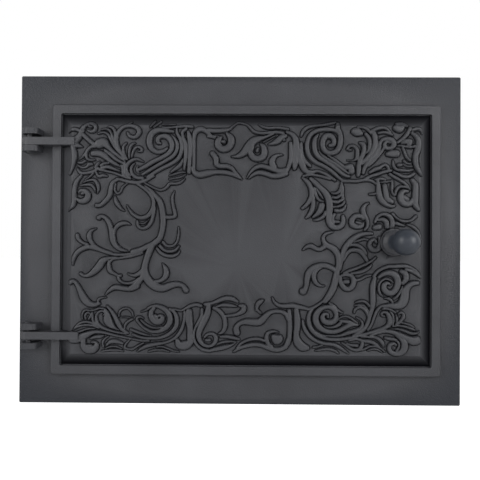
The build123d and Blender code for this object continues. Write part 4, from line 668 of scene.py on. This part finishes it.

# Painted shade, how dark each point is: in the chased lines, in the ring round the knob's boss, in the
# hollows between scrolls and at the bevel's foot
LINE_SHADE = 0.95
HOLLOW_SHADE = 0.6
HOLLOW_DEPTH = 1.6  # depth under the ridges around at which a hollow is darkest
HOLLOW_WINDOW = 3  # grid points to each side of a point that count as around it
SIDE_SHADE = 0.3  # of the bevel beside the rim
LEVEL_SHADE = 0.98  # the same at the top and bottom
LEVEL_FADE = 1.8  # the larger, the further up the bevel the shade at the top and bottom reaches
UNSHADED_RIDGE = 0.5  # ridges higher than this catch the light on the bevel
SHARP_ANGLE = math.radians(50)


def softened(grid):
    """Mean of the grid over a square window."""
    before = HOLLOW_WINDOW + 1
    sums = np.pad(grid, ((before, HOLLOW_WINDOW), (before, HOLLOW_WINDOW)), "edge").cumsum(0).cumsum(1)
    side = 2 * HOLLOW_WINDOW + 1
    return (sums[side:, side:] - sums[:-side, side:] - sums[side:, :-side] + sums[:-side, :-side]) / side**2


# Painted shade in the hollows, where a point lies below the mean of the ridges around it
hollow = np.clip((softened(softened(over)) - over) / HOLLOW_DEPTH, 0, 1)
# Painted shade at the bevel's foot. It is stronger and reaches further up at the top and bottom, which the
# side lights leave darker. None falls on ridges that stand out of it.
up_level = np.clip((PANEL_HALF_HEIGHT - np.abs(v)) / BEVEL_WIDTH, 0, 1)[:, None]
bevel_shade = np.maximum(SIDE_SHADE * (1 - up_bevel), LEVEL_SHADE * (1 - up_level**LEVEL_FADE))
bevel_shade = bevel_shade * (over < UNSHADED_RIDGE)
shade = np.clip(LINE_SHADE * line + HOLLOW_SHADE * hollow + bevel_shade, 0, 1)
places = np.empty(len(field.data.vertices) * 3)
field.data.vertices.foreach_get("co", places)
places = places.reshape(-1, 3) / MM
in_last_cell = 1.001
at_u = np.clip((places[:, 0] - LEAF_CENTRE_X + PANEL_HALF_WIDTH) / GRID, 0, len(u) - in_last_cell)
at_v = np.clip((places[:, 2] + PANEL_HALF_HEIGHT) / GRID, 0, len(v) - in_last_cell)
i, j = at_u.astype(int), at_v.astype(int)
fu, fv = at_u - i, at_v - j
found = (shade[j, i] * (1 - fu) + shade[j, i + 1] * fu) * (1 - fv)
found += (shade[j + 1, i] * (1 - fu) + shade[j + 1, i + 1] * fu) * fv
height = FLANGE_FRONT - places[:, 1]
on_panel = np.abs(height - surface[j, i]) < HIGH_RIDGE
on_panel &= np.abs(places[:, 0] - LEAF_CENTRE_X) < PANEL_HALF_WIDTH
on_panel &= np.abs(places[:, 2]) < PANEL_HALF_HEIGHT
on_panel &= height < FIELD_TOP + HIGH_RIDGE + ROUND_SLACK
# The painted shade goes to the leaf as a point attribute, which its material reads
painted_shade = field.data.attributes.new("painted_shade", "FLOAT", "POINT")
painted_shade.data.foreach_set("value", np.where(on_panel, found, 0))
field.data.set_sharp_from_angle(angle=SHARP_ANGLE)
field.modifiers.new("normals", "WEIGHTED_NORMAL").keep_sharp = True
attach(field, "door")
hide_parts("door_leaf")

# Materials
GLOSS = 0.35  # specular level of painted iron
# Painted shade: its specular level, and its colour, which the frame's joint uses too
PAINTED_SHADE_GLOSS = 0.02
NEAR_BLACK = (0.002, 0.002, 0.003, 1)
BLUE_BLACK = (0.006, 0.008, 0.013, 1)
WHITE = (1, 1, 1, 1)
PATCH_SCALE = 14
PATCH_SPREAD = 0.15  # how much lighter or darker a patch is, as a share
GRAIN_DEPTH = 0.4 * MM
GRAIN_SCALE = 900
EDGE_SHADE = 0.8  # of the flange at its outer edge
EDGE_REACH = 0.0014  # product of a point's distances in metres to two edges at which this shade ends
JOINT_SHADE = 0.95  # painted shade in the joint between frame and leaf
JOINT_REACH = 1.6 * MM
FRAME_EDGE = 0.7 * MM  # rounding of the frame's edges


def set_inputs(tree, node, inputs):
    """Each input gets its value, or a link where a socket is given for it."""
    for name, value in inputs.items():
        if isinstance(value, bpy.types.NodeSocket):
            tree.links.new(value, node.inputs[name])
        else:
            node.inputs[name].default_value = value


def add_node(tree, kind, inputs, **settings):
    node = tree.nodes.new("ShaderNode" + kind)
    for name, value in settings.items():
        setattr(node, name, value)
    set_inputs(tree, node, inputs)
    return node


def calculated(tree, operation, a, b):
    return add_node(tree, "Math", {0: a, 1: b}, operation=operation).outputs[0]


def mixed(tree, factor, colour, other):
    inputs = {"Factor": factor, "A": colour, "B": other}
    return add_node(tree, "Mix", inputs, data_type="RGBA").outputs["Result"]


def new_material(name):
    """A material with its tree of nodes and its shader."""
    material = bpy.data.materials.new(name)
    material.use_nodes = True
    return material, material.node_tree, material.node_tree.nodes["Principled BSDF"]


def paint(name, colour, roughness, grain, grain_scale=GRAIN_SCALE, with_painted_shade=False):
    """Painted cast iron: one colour with faint patches and a sand-cast grain, and painted shade where asked.
    """
    material, tree, shader = new_material(name)
    place = add_node(tree, "TexCoord", {}).outputs["Object"]
    patches = add_node(tree, "TexNoise", {"Vector": place, "Scale": PATCH_SCALE, "Detail": 4})
    ramp = add_node(tree, "ValToRGB", {"Fac": patches.outputs["Fac"]})
    dark, light = ramp.color_ramp.elements
    dark.position = 0.3
    dark.color = (*[c * (1 - PATCH_SPREAD) for c in colour], 1)
    light.position = 0.7
    light.color = (*[c * (1 + PATCH_SPREAD) for c in colour], 1)
    look = {"Base Color": ramp.outputs["Color"], "Roughness": roughness, "Specular IOR Level": GLOSS}
    # Painted shade from the leaf's attribute: near black, rougher and with less gloss where it is strong
    if with_painted_shade:
        painted_shade = add_node(tree, "Attribute", {}, attribute_name="painted_shade").outputs["Fac"]
        rougher = add_node(tree, "MapRange", {"Value": painted_shade, "To Min": roughness, "To Max": 1.0})
        duller = add_node(tree, "MapRange", {"Value": painted_shade, "To Min": GLOSS, "To Max": PAINTED_SHADE_GLOSS})
        look["Base Color"] = mixed(tree, painted_shade, ramp.outputs["Color"], NEAR_BLACK)
        look["Roughness"] = rougher.outputs["Result"]
        look["Specular IOR Level"] = duller.outputs["Result"]
    sand = add_node(tree, "TexNoise", {"Vector": place, "Scale": grain_scale, "Detail": 3})
    lumps = {"Strength": grain, "Distance": GRAIN_DEPTH, "Height": sand.outputs["Fac"]}
    look["Normal"] = add_node(tree, "Bump", lumps).outputs["Normal"]
    set_inputs(tree, shader, look)
    return material


def shade_frame(material):
    """Bluer and darker towards the flange's edges, and painted shade in the joint round the leaf."""
    tree = material.node_tree

    def fading(value, reach, most):
        """The most where the value is nothing, and nothing from the reach on."""
        inputs = {"Value": value, "From Min": 0.0, "From Max": reach, "To Min": most, "To Max": 0.0}
        return add_node(tree, "MapRange", inputs).outputs["Result"]

    place = add_node(tree, "TexCoord", {}).outputs["Object"]
    where = add_node(tree, "SeparateXYZ", {"Vector": place})
    from_middle_x = calculated(tree, "ABSOLUTE", where.outputs["X"], 0.0)
    from_middle_z = calculated(tree, "ABSOLUTE", where.outputs["Z"], 0.0)
    to_side = calculated(tree, "SUBTRACT", (frame_high.x - frame_low.x) / 2, from_middle_x)
    to_top = calculated(tree, "SUBTRACT", (frame_high.z - frame_low.z) / 2, from_middle_z)
    edge = fading(calculated(tree, "MULTIPLY", to_side, to_top), EDGE_REACH, EDGE_SHADE)
    from_leaf_middle = calculated(tree, "SUBTRACT", where.outputs["X"], LEAF_CENTRE_X * MM)
    from_leaf_middle = calculated(tree, "ABSOLUTE", from_leaf_middle, 0.0)
    beside_leaf = calculated(tree, "SUBTRACT", from_leaf_middle, LEAF_HALF_WIDTH * MM)
    over_leaf = calculated(tree, "SUBTRACT", from_middle_z, LEAF_HALF_HEIGHT * MM)
    # Painted shade in the joint round the leaf
    joint = fading(calculated(tree, "MAXIMUM", beside_leaf, over_leaf), JOINT_REACH, JOINT_SHADE)
    shader = tree.nodes["Principled BSDF"]
    colour = mixed(tree, edge, shader.inputs["Base Color"].links[0].from_socket, BLUE_BLACK)
    set_inputs(tree, shader, {"Base Color": mixed(tree, joint, colour, NEAR_BLACK)})


def dress(obj, material):
    obj.data.materials.clear()
    obj.data.materials.append(material)


iron = paint("cast_iron", (0.033, 0.034, 0.039), roughness=0.45, grain=0.8)
leaf_iron = paint("leaf_iron", (0.037, 0.038, 0.043), roughness=0.45, grain=0.9, with_painted_shade=True)
frame_iron = paint("frame_iron", (0.034, 0.035, 0.040), roughness=0.5, grain=0.9)
knob_paint = paint("knob_iron", (0.027, 0.032, 0.041), roughness=0.40, grain=0.15, grain_scale=700)
bare_steel = paint("steel", (0.10, 0.10, 0.105), roughness=0.38, grain=0.3)
shade_frame(frame_iron)
dress(field, leaf_iron)
dress(nodes["frame"], frame_iron)
dress(nodes["knob"], knob_paint)
for name in ("hinge_pin_upper", "hinge_pin_lower", "latch_blade"):
    dress(nodes[name], iron)
for name in ("spindle", "spindle_washer", "latch_nut", "latch_lock_nut"):
    dress(nodes[name], bare_steel)
soft_edge = nodes["frame"].modifiers.new("soft_edge", "BEVEL")
soft_edge.width = FRAME_EDGE
soft_edge.segments = 2
soft_edge.limit_method = "ANGLE"
soft_edge.angle_limit = SHARP_ANGLE

# The knob, turned from a smooth profile of (radius, height over the flange's front)
KNOB_TURNS = 72
HEAD_STEPS = 22
NECK_STEPS = 8
KNOB_LIFT = 0.3  # of the knob's foot over the boss
STUD_PLAY = 0.25  # between the spindle and its bore
FOOT = ((11.6, 0), (12.0, 0.4), (12.0, 1.9), (11.6, 2.4), (9.5, 3.6), (7.6, 5.1))  # disc and cone
NECK_START = 6.0
NECK_RADIUS = 7.0
NECK_WAIST = 1.4  # taken off the neck's radius at its middle
WAIST_ROUNDING = 0.8
NECK_AT_HEAD = 6.8  # radius at which the neck meets the head
KNOB_SHARP_ANGLE = math.radians(55)
knob_front = FLANGE_FRONT - knob_low.y / MM
knob_back = BOSS_TOP + KNOB_LIFT
front = knob_front - HEAD_RADIUS
rear = front - HEAD_BAND
neck_angle = math.asin(NECK_AT_HEAD / HEAD_RADIUS)
neck_start = knob_back + NECK_START
neck_end = rear - HEAD_RADIUS * math.cos(neck_angle)
profile = [(BORE_RADIUS - STUD_PLAY, knob_back)]
profile += [(radius, knob_back + height) for radius, height in FOOT]
foot_rows = len(profile)
for i in range(1, NECK_STEPS):
    share = i / NECK_STEPS
    waist = NECK_WAIST * math.sin(math.pi * share) ** WAIST_ROUNDING
    profile.append((NECK_RADIUS - waist, neck_start + share * (neck_end - neck_start)))
for i in range(HEAD_STEPS + 1):
    angle = neck_angle + (math.pi / 2 - neck_angle) * i / HEAD_STEPS
    profile.append((HEAD_RADIUS * math.sin(angle), rear - HEAD_RADIUS * math.cos(angle)))
for i in range(HEAD_STEPS + 1):
    angle = math.pi / 2 * (1 - i / HEAD_STEPS)
    profile.append((HEAD_RADIUS * math.sin(angle), front + HEAD_RADIUS * math.cos(angle)))


def knob_point(radius, height, angle):
    x = knob_u + LEAF_CENTRE_X + radius * math.cos(angle)
    return x * MM, (FLANGE_FRONT - height) * MM, (knob_v + radius * math.sin(angle)) * MM


rings = []
for radius, height in profile[:-1]:
    for k in range(KNOB_TURNS):
        rings.append(knob_point(radius, height, math.tau * k / KNOB_TURNS))
rings.append(knob_point(0, profile[-1][1], 0))
knob_faces = []
for r in range(len(profile) - 2):
    for k in range(KNOB_TURNS):
        n = (k + 1) % KNOB_TURNS
        a = r * KNOB_TURNS
        b = (r + 1) * KNOB_TURNS
        knob_faces.append((a + k, a + n, b + n, b + k))
last = (len(profile) - 2) * KNOB_TURNS
knob_faces += [(last + k, last + (k + 1) % KNOB_TURNS, len(rings) - 1) for k in range(KNOB_TURNS)]
knob_turning = mesh_object("knob_turning", rings, knob_faces)
knob_turning.data.shade_smooth()
knob_turning.data.set_sharp_from_angle(angle=KNOB_SHARP_ANGLE)
knob_turning.data.materials.append(knob_paint)
knob_turning.data.materials.append(iron)
for number, face in enumerate(knob_turning.data.polygons):
    face.material_index = 1 if number < (foot_rows - 1) * KNOB_TURNS else 0
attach(knob_turning, "latch")
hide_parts("knob")


def softbox(name, place, target, width, height, power):
    light = bpy.data.lights.new(name, "AREA")
    light.shape = "RECTANGLE"
    light.size = width
    light.size_y = height
    light.energy = power
    obj = bpy.data.objects.new(name, light)
    bpy.context.scene.collection.objects.link(obj)
    obj.location = place
    obj.rotation_mode = "QUATERNION"
    obj.rotation_quaternion = (Vector(target) - Vector(place)).to_track_quat("-Z", "Y")


softbox("left_softbox", (-1.10, -0.85, 0.40), (-0.05, 0, 0), width=0.80, height=0.90, power=13)
softbox("right_softbox", (1.10, -0.95, 0.40), (0.05, 0, 0), width=0.90, height=0.90, power=16)
softbox("front_fill", (0.0, -1.9, 0.5), (0, 0, 0), width=1.2, height=0.8, power=5)

# Plain white surroundings behind the object, a dim studio elsewhere
STUDIO_LIGHT = 0.22
BEHIND = 0.15  # a direction with more than this along y counts as behind the object
world = bpy.data.worlds.new("studio")
bpy.context.scene.world = world
world.use_nodes = True
tree = world.node_tree
tree.nodes.clear()
path = add_node(tree, "LightPath", {}).outputs
split = add_node(tree, "SeparateXYZ", {"Vector": add_node(tree, "TexCoord", {}).outputs["Generated"]})
behind = calculated(tree, "GREATER_THAN", split.outputs["Y"], BEHIND)
shine = calculated(tree, "MAXIMUM", path["Is Glossy Ray"], path["Is Transmission Ray"])
shine_behind = calculated(tree, "MULTIPLY", shine, behind)
shown = calculated(tree, "MAXIMUM", path["Is Camera Ray"], shine_behind)
dim = add_node(tree, "Background", {"Color": WHITE, "Strength": STUDIO_LIGHT})
white = add_node(tree, "Background", {"Color": WHITE, "Strength": 1.0})
choice = add_node(tree, "MixShader", {0: shown, 1: dim.outputs[0], 2: white.outputs[0]})
add_node(tree, "OutputWorld", {"Surface": choice.outputs[0]})

# Pale floor under the door, which keeps its shadow
FLOOR_DROP = 0.12
FLOOR_SIZE = 9.0
FLOOR_COLOUR = (0.85, 0.85, 0.85, 1)
FLOOR_ROUGHNESS = 0.9
FLOOR_GLOW = 0.9  # seen by the camera only
floor_level = frame_low.z - FLOOR_DROP
corners = ((-1, -1), (1, -1), (1, 1), (-1, 1))
corners = [(x * FLOOR_SIZE, y * FLOOR_SIZE, floor_level) for x, y in corners]
floor = mesh_object("floor", corners, [(0, 1, 2, 3)])
floor_material, tree, shader = new_material("floor_white")
seen = add_node(tree, "LightPath", {}).outputs["Is Camera Ray"]
glow = calculated(tree, "MULTIPLY", seen, FLOOR_GLOW)
floor_look = {"Base Color": FLOOR_COLOUR, "Roughness": FLOOR_ROUGHNESS}
set_inputs(tree, shader, {**floor_look, "Emission Color": WHITE, "Emission Strength": glow})
floor.data.materials.append(floor_material)

bpy.context.scene.view_settings.view_transform = "Standard"

# The camera, turned a little from the object's front as in the photograph
CAMERA_PLACE = (0.00541, -0.551, -0.00431)
YAW = 0.00917
PITCH = 0.00804
ROLL = -0.00556
camera_data = bpy.data.cameras.new("camera")
camera_data.lens = 40.0
camera_data.sensor_width = 36.0
camera = bpy.data.objects.new("camera", camera_data)
bpy.context.scene.collection.objects.link(camera)
turn = (
    Matrix.Rotation(YAW, 4, "Z")
    @ Matrix.Rotation(PITCH, 4, "X")
    @ Matrix.Rotation(ROLL, 4, "Y")
    @ Matrix.Rotation(math.pi / 2, 4, "X")
)
camera.matrix_world = Matrix.Translation(CAMERA_PLACE) @ turn
bpy.context.scene.camera = camera

bpy.context.view_layer.update()
